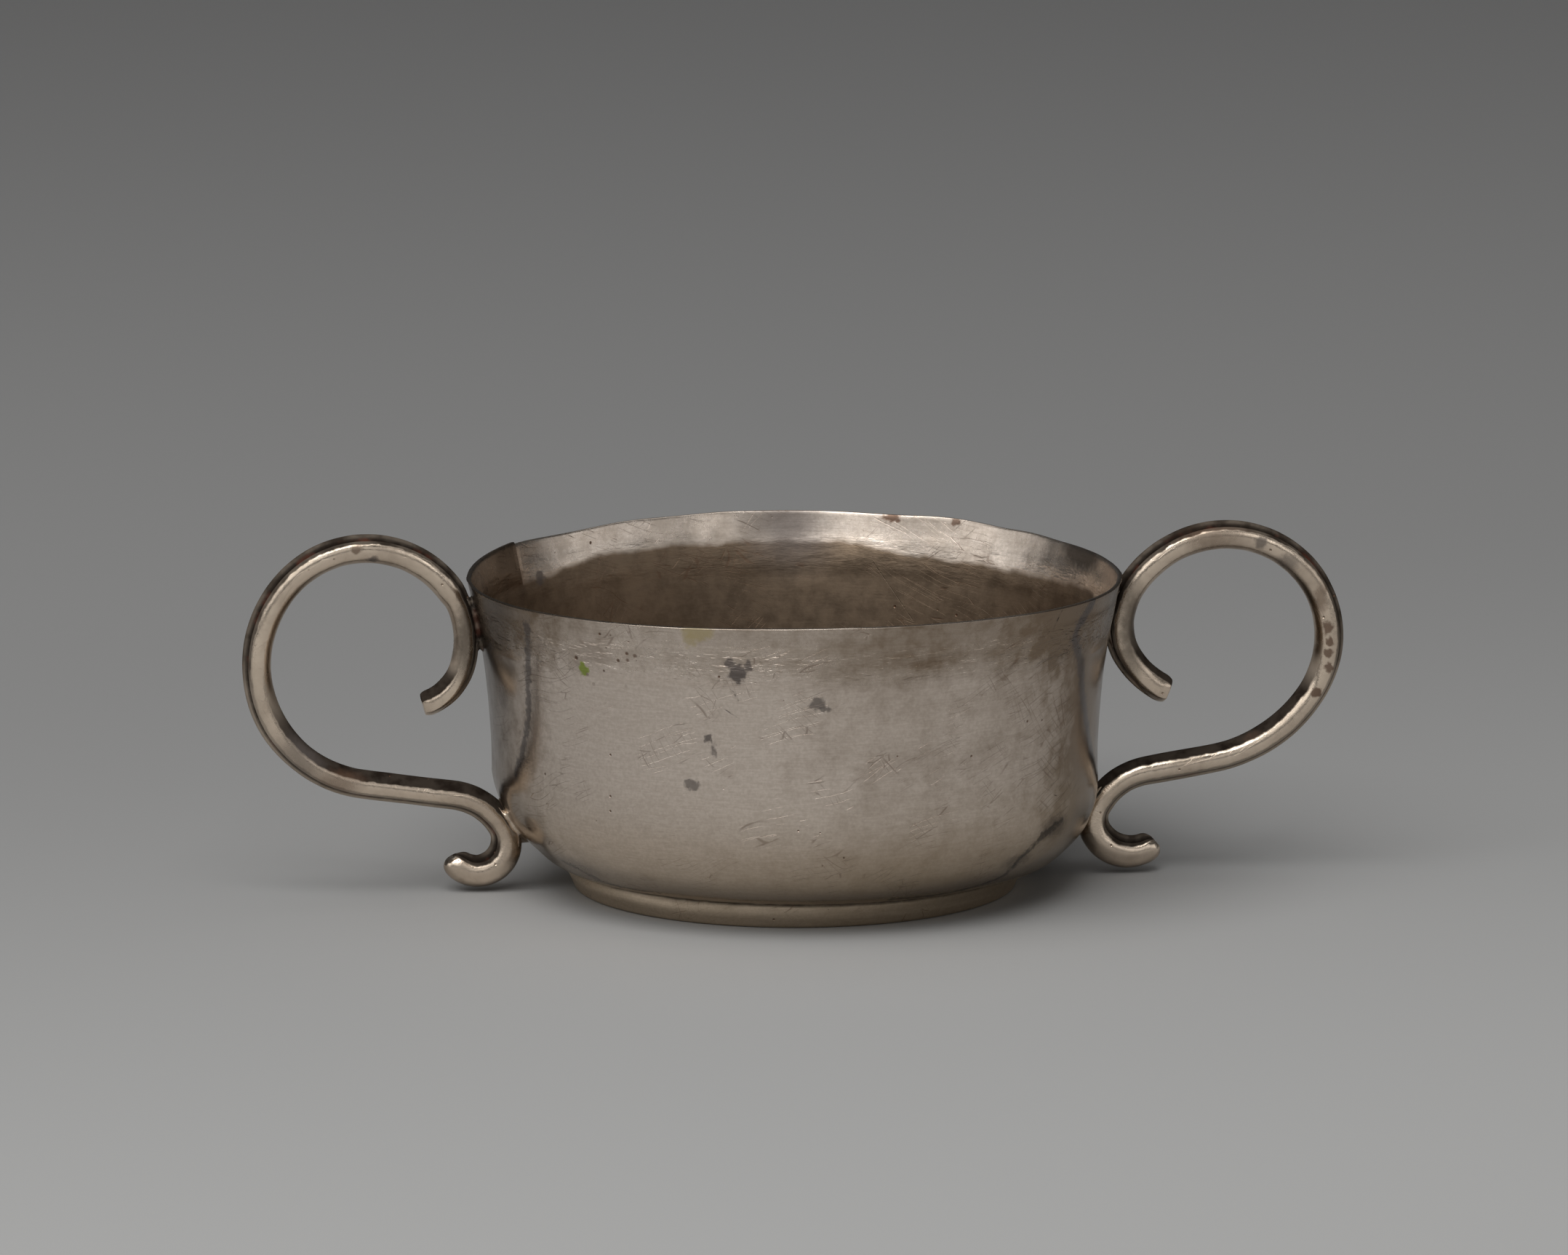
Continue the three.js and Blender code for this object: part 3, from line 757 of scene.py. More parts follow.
def bowl_material(colours):
    """Planished silver with a satin bloom, scratches, pits and stains, and painted shade and painted
    reflections.
    """
    material, shader, mm, side_mm = new_material("planished_silver")
    palette = palette_of(colours)
    across, height = parts(mm)["X"], parts(side_mm)["Y"]
    inside = attribute(mm, "inside")
    outside = minus(1, inside)
    bloom = clouds(mm, 0.09, 4, 0.6)
    cloudy = clouds(mm, 0.45, 4, 0.65)

    dull, depth, lapped = bowl_tarnish_and_shade(mm, side_mm, bloom, cloudy, inside, outside)
    tone = blend(dull, palette["bowl"], palette["bowl_dull"])
    warm = times(span(height, 20, 1, high=0.8), outside)
    tone = blend(warm, tone, palette["warm"])
    # Painted shade: the outside darkens towards its left and right edges.
    edges = times(span(calc("ABSOLUTE", across), 32, 35.5, high=0.65), outside)
    tone = blend(edges, tone, palette["groove"])
    # Inside, the tone darkens deep in the bowl, partly tarnish and partly painted shade, and on the lap.
    deep = highest(depth, times(lapped, 0.8))
    deep = times(deep, inside, span(cloudy, 0.35, 0.65, 0.45, 0.2))
    tone = blend(deep, tone, palette["groove"])
    strokes = use("rubbing", Place=side_mm, Stretch=(0.3, 3.2, 0.4), Scale=1.5)
    mottle = plus(times(clouds(mm, 2.6, 4, 0.7), 0.55), times(strokes, 0.45))
    tone = blend(span(mottle, 0.4, 0.62, 0.24, 0), tone, palette["bowl_dull"])

    worn_foot = times(span(height, 4.2, 2.9), outside)
    beaten_rim = times(span(height, 28.5, 30.5, high=0.07), outside)
    rough = plus(
        span(plus(bloom, cloudy), 0.6, 1.4, 0.16, 0.25), times(inside, plus(0.06, times(depth, 0.2))),
        times(worn_foot, 0.3), beaten_rim,
    )

    # The dark line over the foot: partly dirt in the crease, partly painted shade.
    wavering = plus(height, times(minus(bloom, 0.5), 0.5))
    groove = span(beside(wavering, GROOVE_LINE), 0.55, 0.1, high=0.95)
    groove = times(groove, outside, span(clouds(mm, 0.5), 0.3, 0.65, 0.35, 0.95))
    tone = blend(groove, tone, palette["reed"])
    ragged = torn(mm, 1.3, 1.5)
    tone, rough = lay_spots(OUTER_SPOTS, ragged, outside, palette, tone, rough)
    tone, rough = lay_spots(INNER_SPOTS, ragged, inside, palette, tone, rough)

    swarm = use("pits", Place=mm, Spacing=1, Size=0.36, Share=0.6)
    zone = use("spot", Place=mm, Centre=SPECKLED_AT, Reach=SPECKLED_REACH, Softness=0.5)
    strewn = use("pits", Place=mm, Spacing=2.2, Size=0.2, Share=0.42)
    pitted = highest(strewn, times(swarm, zone))
    tone = blend(times(pitted, 0.9), tone, palette["brown"])
    scratched = highest(*(
        times(stroke(mm, start, end, width, strength), inside if within else outside)
        for start, end, width, strength, within in LINE_MARKS
    ))
    scratched = times(scratched, span(clouds(mm, 1.9, 1), 0.45, 0.55, low=0.2))
    tone = blend(scratched, tone, palette["groove"])
    # Streaks: painted reflections of the handles beside them, and tarnish over the foot.
    for points, width, strength, paint in STREAKS:
        legs = zip(points, points[1:])
        streak = highest(*(stroke(ragged, start, end, width, strength) for start, end in legs))
        tone = blend(times(streak, outside), tone, palette[paint])
    hairs = highest(
        use("hairlines", Place=side_mm, Turn=-0.35, Scale=0.5, Share=0.5),
        use("hairlines", Place=side_mm, Turn=0.9, Scale=0.35, Share=0.56),
    )
    tone = blend(times(hairs, 0.42), tone, palette["brown"])

    fine = use("rubbing", Place=side_mm, Stretch=(0.1, 1.6, 0.3), Scale=2.2)
    marks = {"Vector": side_mm, "Scale": 0.32, "Smoothness": 0.25, "Randomness": 0.8}
    facets = calc("POWER", node("TexVoronoi", marks, feature="SMOOTH_F1").outputs["Distance"], 2)
    ridges = use("rubbing", Place=side_mm, Stretch=(0.13, 0.5, 0.2), Scale=1)
    ridged = times(span(beside(height, RIM_RIDGES), 2.8, 1, high=0.46), plus(outside, 0.25))
    relief = plus(
        times(facets, span(beside(height, LOW_FACETS), 6, 0, 0.012, 0.06)), times(fine, 0.006),
        times(cloudy, 0.02), times(ridges, ridged), times(mottle, 0.012),
    )
    relief = minus(relief, times(pitted, 0.05), times(hairs, 0.01), times(scratched, 0.05))
    finish_shader(shader, tone, rough, relief, metal=span(groove, 0.3, 0.85, 1, 0))
    return material


# Marks on the handles, listed as those on the bowl are
WIRE_SPOTS = [
    ("blotch", "brown", (61.0, -1.6, 28.0), (0.5, 0.8, 0.8), 0.3, 0.8),
    ("second blotch", "brown", (61.2, -1.6, 26.4), (0.4, 0.8, 0.5), 0.3, 0.8),
    ("third blotch", "brown", (61.1, -1.6, 25.0), (0.5, 0.8, 0.5), 0.3, 0.8),
    ("fourth blotch", "brown", (61.2, -1.6, 23.4), (0.45, 0.8, 0.6), 0.3, 0.8),
    ("fifth blotch", "brown", (59.8, -1.6, 20.5), (0.55, 0.8, 0.55), 0.3, 0.85),
    ("top stains", "brown", (48.0, -1.2, 38.6), (3.4, 1.0, 1.2), 0.8, 0.5),
    ("right top", "stain", (53.2, -1.4, 38.0), (0.8, 0.9, 0.7), 0.4, 0.7),
    ("left spot", "brown", (-49.9, -1.6, 39.9), (0.6, 0.8, 0.5), 0.4, 0.7),
    ("left inner spot", "stain", (-48.0, -1.6, 38.6), (0.7, 0.8, 0.5), 0.4, 0.8),
    ("left lower side", "stain", (-56.2, -1.6, 16.5), (2.4, 1.0, 2.8), 0.8, 0.5),
    ("left bottom", "brown", (-52.0, -1.6, 13.2), (2.4, 0.9, 1.2), 0.8, 0.5),
    # Painted shade in the narrow gap between the wire and the bowl.
    ("painted shade at right throat", "groove", (38.4, -0.9, 28.5), (1.5, 1.5, 5.6), 0.6, 0.7),
    ("right top blotch", "stain", (56.2, -1.5, 35.6), (1.3, 1.0, 1.0), 0.5, 0.6),
    ("right side blotch", "brown", (60.2, -1.5, 31.4), (0.7, 1.0, 1.6), 0.5, 0.55),
    # Painted shade in the narrow gap between the wire and the bowl.
    ("painted shade at left seat", "groove", (-37.6, -1.2, 29.0), (0.9, 2.0, 5.0), 0.8, 0.7),
    ("left scroll", "brown", (-41.5, -1.6, 8.4), (1.6, 1.2, 1.4), 0.6, 0.5),
    ("right lower", "brown", (51.5, -1.6, 16.0), (1.6, 0.9, 0.8), 0.6, 0.4),
]


def wire_material(colours):
    """Filed silver wire: bright on its flanks, dark in its grooves and on its inner side."""
    material, shader, mm, _ = new_material("filed_silver")
    palette = palette_of(colours)
    wire = attribute(mm, "wire", "Vector")
    facing_up = attribute(mm, "inner")
    reached, across, stands_out = parts(wire)
    across = calc("ABSOLUTE", across)
    right, _, height = parts(mm)
    out = plus(stands_out, times(minus(clouds(mm, 0.8, 4), 0.5), 0.5))
    fade = span(reached, 0.5, 7)
    bloom = clouds(mm, 0.16, 4, 0.6)
    cloudy = clouds(mm, 0.9, 4, 0.65)

    dull = plus(span(bloom, 0.35, 0.7, high=0.26), span(cloudy, 0.45, 0.8, high=0.16))
    under = times(minus(1, facing_up), span(out, -0.7, -1.3, high=0.45))
    dull = calc("ADD", dull, under, clamp=True)
    tone = blend(dull, palette["wire"], palette["wire_dull"])
    inner = times(facing_up, span(plus(out, span(right, -1, 1, high=0.3)), -0.42, -0.72))
    dark_side = times(inner, span(clouds(mm, 0.5), 0.3, 0.6, 1, 0.97))
    tone = blend(dark_side, tone, palette["groove"])
    reed = times(fade, span(out, 0.6, 0.85))
    thinner_above = minus(1, times(facing_up, 0.45))
    reed = times(reed, times(span(clouds(mm, 0.35), 0.35, 0.65, 1, 0.9), thinner_above))
    tone = blend(reed, tone, palette["reed"])
    rough = span(plus(bloom, cloudy), 0.6, 1.4, 0.13, 0.26)
    tone, rough = lay_spots(WIRE_SPOTS, torn(mm, 1.5, 1), 1, palette, tone, rough)

    dirty = times(
        span(across, 1.15, 1), span(across, 0.4, 0.55), span(stands_out, 1.5, 1.3), fade,
        span(stands_out, 0.4, 0.6),
    )
    dirty = times(dirty, span(clouds(mm, 1.2), 0.25, 0.6, low=0.75))
    red = span(clouds(mm, 0.25), 0.52, 0.68, high=0.6)
    tone = blend(dirty, tone, blend(red, palette["groove"], palette["copper"]))
    crust = highest(dark_side, dirty, reed)
    rough = plus(rough, times(crust, 0.35))
    pitted = use("pits", Place=mm, Spacing=1.5, Size=0.2, Share=0.36)
    tone = blend(times(pitted, 0.7), tone, palette["brown"])

    filed = use("rubbing", Place=wire, Stretch=(6, 0.5, 0.5), Scale=1)
    drawn = use("rubbing", Place=wire, Stretch=(0.15, 3, 3), Scale=1.6)
    hairs = use("hairlines", Place=wire, Turn=0.15, Scale=0.9, Share=0.46)
    filing = times(filed, span(height, 12.5, 9, 0.004, 0.022))
    relief = plus(filing, times(drawn, 0.005), times(cloudy, 0.03))
    relief = minus(relief, times(pitted, 0.06), times(hairs, 0.006))
    finish_shader(shader, tone, rough, relief, metal=span(crust, 0.3, 0.85, 1, 0))
    return material


def solder_material(colours):
    """Dull solder with red-brown patina at its edges, and painted shade on the upper fillets."""
    material, shader, mm, _ = new_material("solder_silver")
    palette = palette_of(colours)
    patina_and_shade = attribute(mm, "patina_and_shade")
    cloudy = clouds(mm, 0.8, 4, 0.65)
    tone = blend(span(cloudy, 0.35, 0.75, 0.1, 0.9), palette["wire"], palette["wire_dull"])
    red = span(clouds(mm, 0.5), 0.45, 0.65, high=0.3)
    # Red-brown patina, and on the upper fillets painted shade of the gap between wire and bowl.
    dirty = times(patina_and_shade, span(clouds(mm, 1.1), 0.3, 0.65, low=0.7))
    tone = blend(dirty, tone, blend(red, palette["groove"], palette["copper"]))
    rough = plus(span(cloudy, 0.3, 0.8, 0.25, 0.42), times(patina_and_shade, 0.2))
    metal = minus(1, times(dirty, 0.8))
    finish_shader(shader, tone, rough, times(cloudy, 0.12), metal, specular=0.1)
    return material


# The handles
def normal_of(heading):
    """The outward direction of the wire in the handle's plane."""
    return Vector((-math.sin(heading), math.cos(heading)))


def along(heading):
    """The direction that a wire with this heading runs in, in the handle's plane."""
    return Vector((math.cos(heading), math.sin(heading)))


def bends_of(bends, way=1):
    """Bends with their radii in metres and their turns in radians."""
    return [(radius * MM, way * math.radians(turn)) for radius, turn in bends]


def run_of(bends):
    """The length of wire in some bends."""
    return sum(abs(radius * turn) for radius, turn in bends)


class WirePath:
    """The centre line of a handle in its own plane, from the upper tip to the lower one."""

    STEP = math.radians(4.5)
    SEAT_GAP = 0.5 * MM
    UPPER_FILING = 0.6 * MM
    LOWER_FILING = 0.9 * MM

    def __init__(self, handle, wire, curve):
        self.handle = handle
        stand = wire.thickness / 2 + self.SEAT_GAP
        upper, upper_heading = self.wall_seat(curve, stand - self.UPPER_FILING)
        lower, lower_heading = self.belly_seat(curve, stand - self.LOWER_FILING)
        tip, scroll, hoop = bends_of(handle["tip"]), bends_of(handle["scroll"]), bends_of(handle["hoop"], -1)
        stretch, run, throat = self.close(hoop, upper, upper_heading, lower, lower_heading)
        self.start, start_heading = self.follow(upper, upper_heading + math.pi, tip)
        self.heading = start_heading - math.pi
        back = [(radius, -turn) for radius, turn in reversed(tip)]
        away = [(radius * stretch, turn) for radius, turn in hoop]
        self.moves = back + away + [(None, run), throat] + scroll
        self.upper_length = run_of(back)
        self.lower_length = self.upper_length + run_of(away) + run + run_of([throat])

    def wall_seat(self, curve, stand):
        """Where the wire passes the wall, standing off it, and its heading there."""
        lean = curve.seat_lean(self.handle)
        return curve.beside_wall(lean, stand), math.pi / 2 - lean

    def belly_seat(self, curve, stand):
        """Where the scroll passes the belly, standing off it, and its heading there."""
        angle = math.radians(self.handle["belly_seat_angle"])
        point = curve.beside_belly(angle, stand)
        point.x += self.handle["side"] * curve.shift_at(curve.beside_belly(angle, 0).y)
        return point, -math.pi / 2 - angle

    @staticmethod
    def bend(point, heading, radius, turn):
        """The end of one bend."""
        chord = 2 * radius * abs(math.sin(turn / 2))
        return point + along(heading + turn / 2) * chord, heading + turn

    def follow(self, point, heading, bends):
        """The end of several bends."""
        for radius, turn in bends:
            point, heading = self.bend(point, heading, radius, turn)
        return point, heading

    def close(self, hoop, upper, upper_heading, lower, lower_heading):
        """Stretch the hoop and set the straight run so that the wire lands on the belly."""
        reach, heading = self.follow(Vector((0, 0)), upper_heading, hoop)
        throat = (self.handle["throat_radius"] * MM, lower_heading - heading)
        turned, _ = self.follow(Vector((0, 0)), heading, [throat])
        need, run = lower - upper - turned, along(heading)
        across = reach.cross(run)
        return need.cross(run) / across, reach.cross(need) / across, throat

    def stations(self):
        """Point, heading, length, and the move that led there, one after another."""
        point, heading, reached = self.start.copy(), self.heading, 0
        found = [(point.copy(), heading, reached, None)]
        for radius, amount in self.moves:
            if radius is None:
                steps = max(1, round(amount / (1 * MM)))
                run = along(heading) * (amount / steps)
                for _ in range(steps):
                    point = point + run
                    reached += run.length
                    found.append((point.copy(), heading, reached, (None, run)))
                continue
            steps = max(2, math.ceil(abs(amount) / self.STEP))
            step = amount / steps
            centre = point + normal_of(heading) * radius * math.copysign(1, amount)
            for _ in range(steps):
                point, heading = self.bend(point, heading, radius, step)
                reached += abs(radius * step)
                found.append((point.copy(), heading, reached, (centre, step)))
        return found


def half_section(wire):
    """Half of the wire's section from its inner side to the top of the reed, as (out, across)."""
    thick, wide = wire.thickness / 2, wire.width / 2
    reed = wire.reed_width / 2
    groove_end = reed + wire.groove_width
    shoulder = thick - wire.reed_rise
    floor = shoulder - wire.groove_depth
    turns = [math.radians(turn) for turn in range(0, 121, 12)]
    return [(-thick * math.cos(turn), wide * math.sin(turn)) for turn in turns] + [
        (shoulder * 0.86, groove_end + 0.12 * MM),
        (shoulder * 0.9, groove_end),
        (floor * 1.08, groove_end - 0.16 * MM),
        (floor, reed + 0.16 * MM),
        (shoulder * 0.8, reed + 0.04 * MM),
        (thick * 0.88, reed * 0.9),
        (thick * 0.98, reed * 0.6),
        (thick, 0),
    ]


def section_loop(bm, wire):
    """The wire's whole section as a loop of edges that remembers its own shape."""
    half = [bm.verts.new((out, across, 0)) for out, across in half_section(wire)]
    edges = [bm.edges.new(pair) for pair in zip(half, half[1:])]
    bmesh.ops.mirror(bm, geom=half + edges, matrix=Matrix.Identity(4), merge_dist=WELD, axis="Y")
    out_layer = bm.verts.layers.float.new("out")
    across_layer = bm.verts.layers.float.new("across")
    for vert in bm.verts:
        vert[out_layer], vert[across_layer] = vert.co.x, vert.co.y
    return out_layer, across_layer


def sweep(bm, wire, path):
    """Spin the section bend by bend along the path; give each vertex its station."""
    layers = section_loop(bm, wire)
    station_layer = bm.verts.layers.int.new("station")
    stations = path.stations()
    start, heading = stations[0][:2]
    for vert in bm.verts:
        place = start + normal_of(heading) * vert[layers[0]]
        vert.co = (place.x, vert[layers[1]], place.y)
    ring = bm.verts[:] + bm.edges[:]
    for index, (_, _, _, (centre, amount)) in enumerate(stations[1:], 1):
        if centre is None:
            edges = [part for part in ring if isinstance(part, bmesh.types.BMEdge)]
            made = bmesh.ops.extrude_edge_only(bm, edges=edges)["geom"]
            ring = [part for part in made if not isinstance(part, bmesh.types.BMFace)]
            moved = [part for part in ring if isinstance(part, bmesh.types.BMVert)]
            bmesh.ops.translate(bm, verts=moved, vec=(amount.x, 0, amount.y))
        else:
            ring = bmesh.ops.spin(
                bm, geom=ring, cent=(centre.x, 0, centre.y), axis=(0, -1, 0), angle=amount, steps=1,
            )["geom_last"]
        for part in ring:
            if isinstance(part, bmesh.types.BMVert):
                part[station_layer] = index
    return layers, station_layer, stations


# The tips are rounded over a length in mm, and drawn in by a share of the wire
UPPER_TIP, LOWER_TIP = (0.6, 0.15), (1.3, 0.5)

# The left handle is filed thinner from its upper seat to a place this far past it, in mm
THINNED_TO, THINNED_BY = 3.2, 0.13

# The uneven hand: a share of the wire's thickness, then its lean and its ripples in mm
HAND_SHARE, HAND_LEAN, HAND_RIPPLE = 0.035, 0.09, 0.035


def growth(wire, path, reached, total):
    """How much thicker the wire is at a length along it, with its swollen scroll and its tips."""
    share = min(1, max(0, (reached - path.lower_length) / (total - path.lower_length)))
    grow = 1 + (wire.swell - 1) * math.sin(math.pi * share)
    left = total - reached
    rounding, drawn_in = LOWER_TIP if left < reached else UPPER_TIP
    end = max(0, 1 - min(reached, left) / (rounding * MM))
    grow *= 1 - drawn_in * (1 - math.sqrt(1 - end ** 2))
    if path.handle["side"] < 0:
        past_seat = reached - path.upper_length - THINNED_TO * MM
        grow *= 1 - THINNED_BY * smooth_step(0.4 * MM, -0.4 * MM, past_seat)
    return grow


def work_wire(bm, wire, path, layers, station_layer, stations):
    """Fade the reed at the upper tip, swell the scroll, and give the wire its uneven hand."""
    out_layer, across_layer = layers
    thick = wire.thickness / 2
    shoulder = thick - wire.reed_rise
    seed = Vector((path.handle["side"] * 11, 5, 2))
    for vert in bm.verts:
        point, heading, reached, _ = stations[vert[station_layer]]
        out, across = vert[out_layer], vert[across_layer]
        relief = smooth_step(0, wire.fade, reached)
        if out > 0:
            plain = min(out, shoulder) if abs(across) > wire.reed_width / 2 else out
            plain = max(plain, shoulder * (1.02 - (across / wire.width) ** 2))
            plain = min(thick, plain + wire.reed_rise * (1 - (2 * across / wire.width) ** 2))
            out = plain + (out - plain) * relief
        place = Vector((reached / MM * 0.16, 0, 0)) + seed
        grow = growth(wire, path, reached, stations[-1][2]) * (1 + HAND_SHARE * noise.noise(place))
        lean = HAND_LEAN * MM * noise.noise(place * 1.3 + Vector((0, 9, 0)))
        rippled = Vector((reached / MM * 0.7, across / MM, out / MM)) + seed
        moved = point + normal_of(heading) * (out * grow + HAND_RIPPLE * MM * noise.noise(rippled))
        vert.co = (moved.x, across * grow + lean, moved.y)


def close_tips(bm, station_layer, last):
    """Close both ends with a face drawn in twice, so the tips are blunt with small round corners."""
    for index in (0, last):
        rim = [
            edge for edge in bm.edges
            if edge.is_boundary and all(vert[station_layer] == index for vert in edge.verts)
        ]
        face = bmesh.ops.contextual_create(bm, geom=rim)["faces"][0]
        for inset in (0.1, 0.3):
            bmesh.ops.inset_region(bm, faces=[face], thickness=inset * MM, depth=0)
        bmesh.ops.poke(bm, faces=[face])


def wire_layers(bm, layers, station_layer, stations):
    """Attributes that the material reads: place on the wire, and how far its inner side faces up."""
    out_layer, across_layer = layers
    place = bm.verts.layers.float_vector.new("wire")
    inner = bm.verts.layers.float.new("inner")
    for vert in bm.verts:
        _, heading, reached, _ = stations[vert[station_layer]]
        vert[place] = (reached / MM, vert[across_layer] / MM, vert[out_layer] / MM)
        vert[inner] = smooth_step(-0.15, 0.6, -normal_of(heading).y)


def turn_to_side(bm, handle):
    """Turn a piece made for the right side round to the side of its handle."""
    if handle["side"] < 0:
        half_turn = Matrix.Rotation(math.pi, 3, "Z")
        bmesh.ops.rotate(bm, verts=bm.verts[:], cent=(0, 0, 0), matrix=half_turn)


def handle_mesh(handle, wire, curve):
    """One handle, with its place in its mesh."""
    path = WirePath(handle, wire, curve)
    bm = bmesh.new()
    layers, station_layer, stations = sweep(bm, wire, path)
    wire_layers(bm, layers, station_layer, stations)
    work_wire(bm, wire, path, layers, station_layer, stations)
    close_tips(bm, station_layer, len(stations) - 1)
    bmesh.ops.recalc_face_normals(bm, faces=bm.faces[:])
    turn_to_side(bm, handle)
    return bm


# Solder fillets: reach in mm above and below the seat, half widths in mm on the wire and on the bowl,
# how hollow their ends are, how lumpy they are, and how much patina and painted shade darken them
FILLETS = {
    "left_upper_solder": {
        "upper": True, "above": 3.2, "below": 4.2, "wire": 0.7, "bowl": 0.8, "hollow": 0.35,
        "lumps": 0.1, "patina_and_shade": 1.0,
    },
    "left_lower_solder": {
        "upper": False, "above": 3.4, "below": 3.4, "wire": 1.64, "bowl": 2.35, "hollow": 0.5,
        "lumps": 0.12, "patina_and_shade": 0.1,
    },
    "right_upper_solder": {
        "upper": True, "above": 3.4, "below": 4.4, "wire": 1.0, "bowl": 1.3, "hollow": 0.35,
        "lumps": 0.16, "patina_and_shade": 0.8,
    },
    "right_lower_solder": {
        "upper": False, "above": 3.3, "below": 3.4, "wire": 1.64, "bowl": 2.35, "hollow": 0.5,
        "lumps": 0.12, "patina_and_shade": 0.15,
    },
}

# How finely a fillet is made: rings along it, points round it, and probes for the wire's distance
RINGS, RING_POINTS, PROBES = 10, 24, 20
PROBE_STEP = 0.07 * MM
PROBE_LIMIT = 60
SUNK_IN_BOWL = 0.2 * MM
SUNK_IN_WIRE = 0.6 * MM
SEAT_REACH = 9 * MM


def bowl_side(curve, handle, upper, reach):
    """Point on the bowl's side at a distance above the seat, in the handle's plane, and its normal."""
    if upper:
        lean = min(curve.wall_lean, curve.seat_lean(handle) + reach / curve.wall_curve)
        point, further = curve.beside_wall(lean, 0), curve.beside_wall(lean, MM)
    else:
        angle = math.radians(handle["belly_seat_angle"]) - reach / curve.belly_curve
        point, further = curve.beside_belly(angle, 0), curve.beside_belly(angle, MM)
        sideways = Vector((handle["side"] * curve.shift_at(point.y), 0))
        point, further = point + sideways, further + sideways
    return point, (further - point).normalized()


def reach_of_wire(stations, wire, point, normal):
    """How far the wire's surface is from a point on the bowl, along the bowl's normal."""
    for step in range(PROBE_LIMIT):
        probe = point + normal * (step * PROBE_STEP)
        if min((probe - station[0]).length for station in stations) < wire.thickness / 2:
            return step * PROBE_STEP
    return PROBE_LIMIT * PROBE_STEP


def solder_mesh(handle, wire, curve, fillet):
    """A fillet of solder between wire and bowl, hollow at both ends like a web."""
    path = WirePath(handle, wire, curve)
    seat = path.upper_length if fillet["upper"] else path.lower_length
    stations = [station for station in path.stations() if abs(station[2] - seat) < SEAT_REACH]

    def on_bowl(share):
        """Point and normal on the bowl, from -1 at the fillet's lower end to 1 at its upper end."""
        reach = (fillet["above"] if share > 0 else fillet["below"]) * MM * share
        return bowl_side(curve, handle, fillet["upper"], reach)

    gaps = [
        reach_of_wire(stations, wire, *on_bowl(step / PROBES)) for step in range(-PROBES, PROBES + 1)
    ]
    bm = bmesh.new()
    patina_and_shade = bm.verts.layers.float.new("patina_and_shade")
    rings = []
    for step in range(-RINGS, RINGS + 1):
        ring = bmesh.ops.create_circle(bm, cap_ends=False, radius=1, segments=RING_POINTS)["verts"]
        thinned = math.sqrt(max(0, 1 - (step / RINGS) ** 4)) * 0.6 + 0.4
        for vert in ring:
            share = (vert.co.x + 1) / 2
            upwards = step / RINGS * (1 - fillet["hollow"] * 4 * share * (1 - share))
            point, normal = on_bowl(upwards)
            gap = gaps[round((upwards + 1) * PROBES)]
            at = point + normal * (share * (gap + SUNK_IN_BOWL + SUNK_IN_WIRE) - SUNK_IN_BOWL)
            half = (fillet["bowl"] + (fillet["wire"] - fillet["bowl"]) * share ** 0.6) * thinned
            broad = math.copysign(abs(vert.co.y) ** 0.35, vert.co.y)
            vert.co = (at.x, broad * half * MM, at.y)
        rings.append(ring)
    loops = [[edge for edge in bm.edges if all(vert in ring for vert in edge.verts)] for ring in rings]
    for first, second in zip(loops, loops[1:]):
        bmesh.ops.bridge_loops(bm, edges=first + second)
    bmesh.ops.holes_fill(bm, edges=[edge for edge in bm.edges if edge.is_boundary], sides=40)
    bmesh.ops.recalc_face_normals(bm, faces=bm.faces[:])
    for vert in bm.verts:
        vert.co += vert.normal * noise.noise(vert.co / MM * 0.9) * fillet["lumps"] * MM
        vert[patina_and_shade] = fillet["patina_and_shade"]
    turn_to_side(bm, handle)
    return bm


def subdivide(obj, levels):
    """Smooth a piece with a subdivision surface."""
    modifier = obj.modifiers.new("rounding", "SUBSURF")
    modifier.levels = levels
    modifier.render_levels = levels


class CUP_OT_bowl(bpy.types.Operator):
    """Raise the bowl from its outline and finish it as planished silver"""

    bl_idname = "cup.bowl"
    bl_label = "Raise the bowl"

    def execute(self, context):
        sizes = context.scene.cup_bowl
        curve = SideCurve(sizes)
        bm = bmesh.new()
        draw_outline(bm, sizes, curve)
        inside = raise_sheet(bm, sizes)
        soften_rim(bm, sizes)
        hand_work(bm, inside, sizes, curve)
        keep_in_box(bm, "bowl")
        if not any(vert[inside] for vert in bm.verts):
            raise RuntimeError("the bowl came out without its wall")
        material = bowl_material(context.scene.cup_colours)
        finish_object(bm, "raised_bowl", material, "bowl")
        return {"FINISHED"}


class CUP_OT_handles(bpy.types.Operator):
    """Bend the two handles from moulded wire"""

    bl_idname = "cup.handles"
    bl_label = "Bend the handles"

    def execute(self, context):
        curve = SideCurve(context.scene.cup_bowl)
        material = wire_material(context.scene.cup_colours)
        for name, handle in (("left_handle", LEFT_HANDLE), ("right_handle", RIGHT_HANDLE)):
            bm = handle_mesh(handle, context.scene.cup_handles, curve)
            keep_in_box(bm, name)
            obj = finish_object(bm, f"{name}_wire", material, name)
            subdivide(obj, 2)
        return {"FINISHED"}


class CUP_OT_solder(bpy.types.Operator):
    """Fill the seats of the handles with solder"""

    bl_idname = "cup.solder"
    bl_label = "Solder the handles"

    def execute(self, context):
        curve = SideCurve(context.scene.cup_bowl)
        material = solder_material(context.scene.cup_colours)
        for name, fillet in FILLETS.items():
            handle = LEFT_HANDLE if name.startswith("left") else RIGHT_HANDLE
            bm = solder_mesh(handle, context.scene.cup_handles, curve, fillet)
            obj = finish_object(bm, f"{name}_fillet", material, name)
            subdivide(obj, 1)
        return {"FINISHED"}


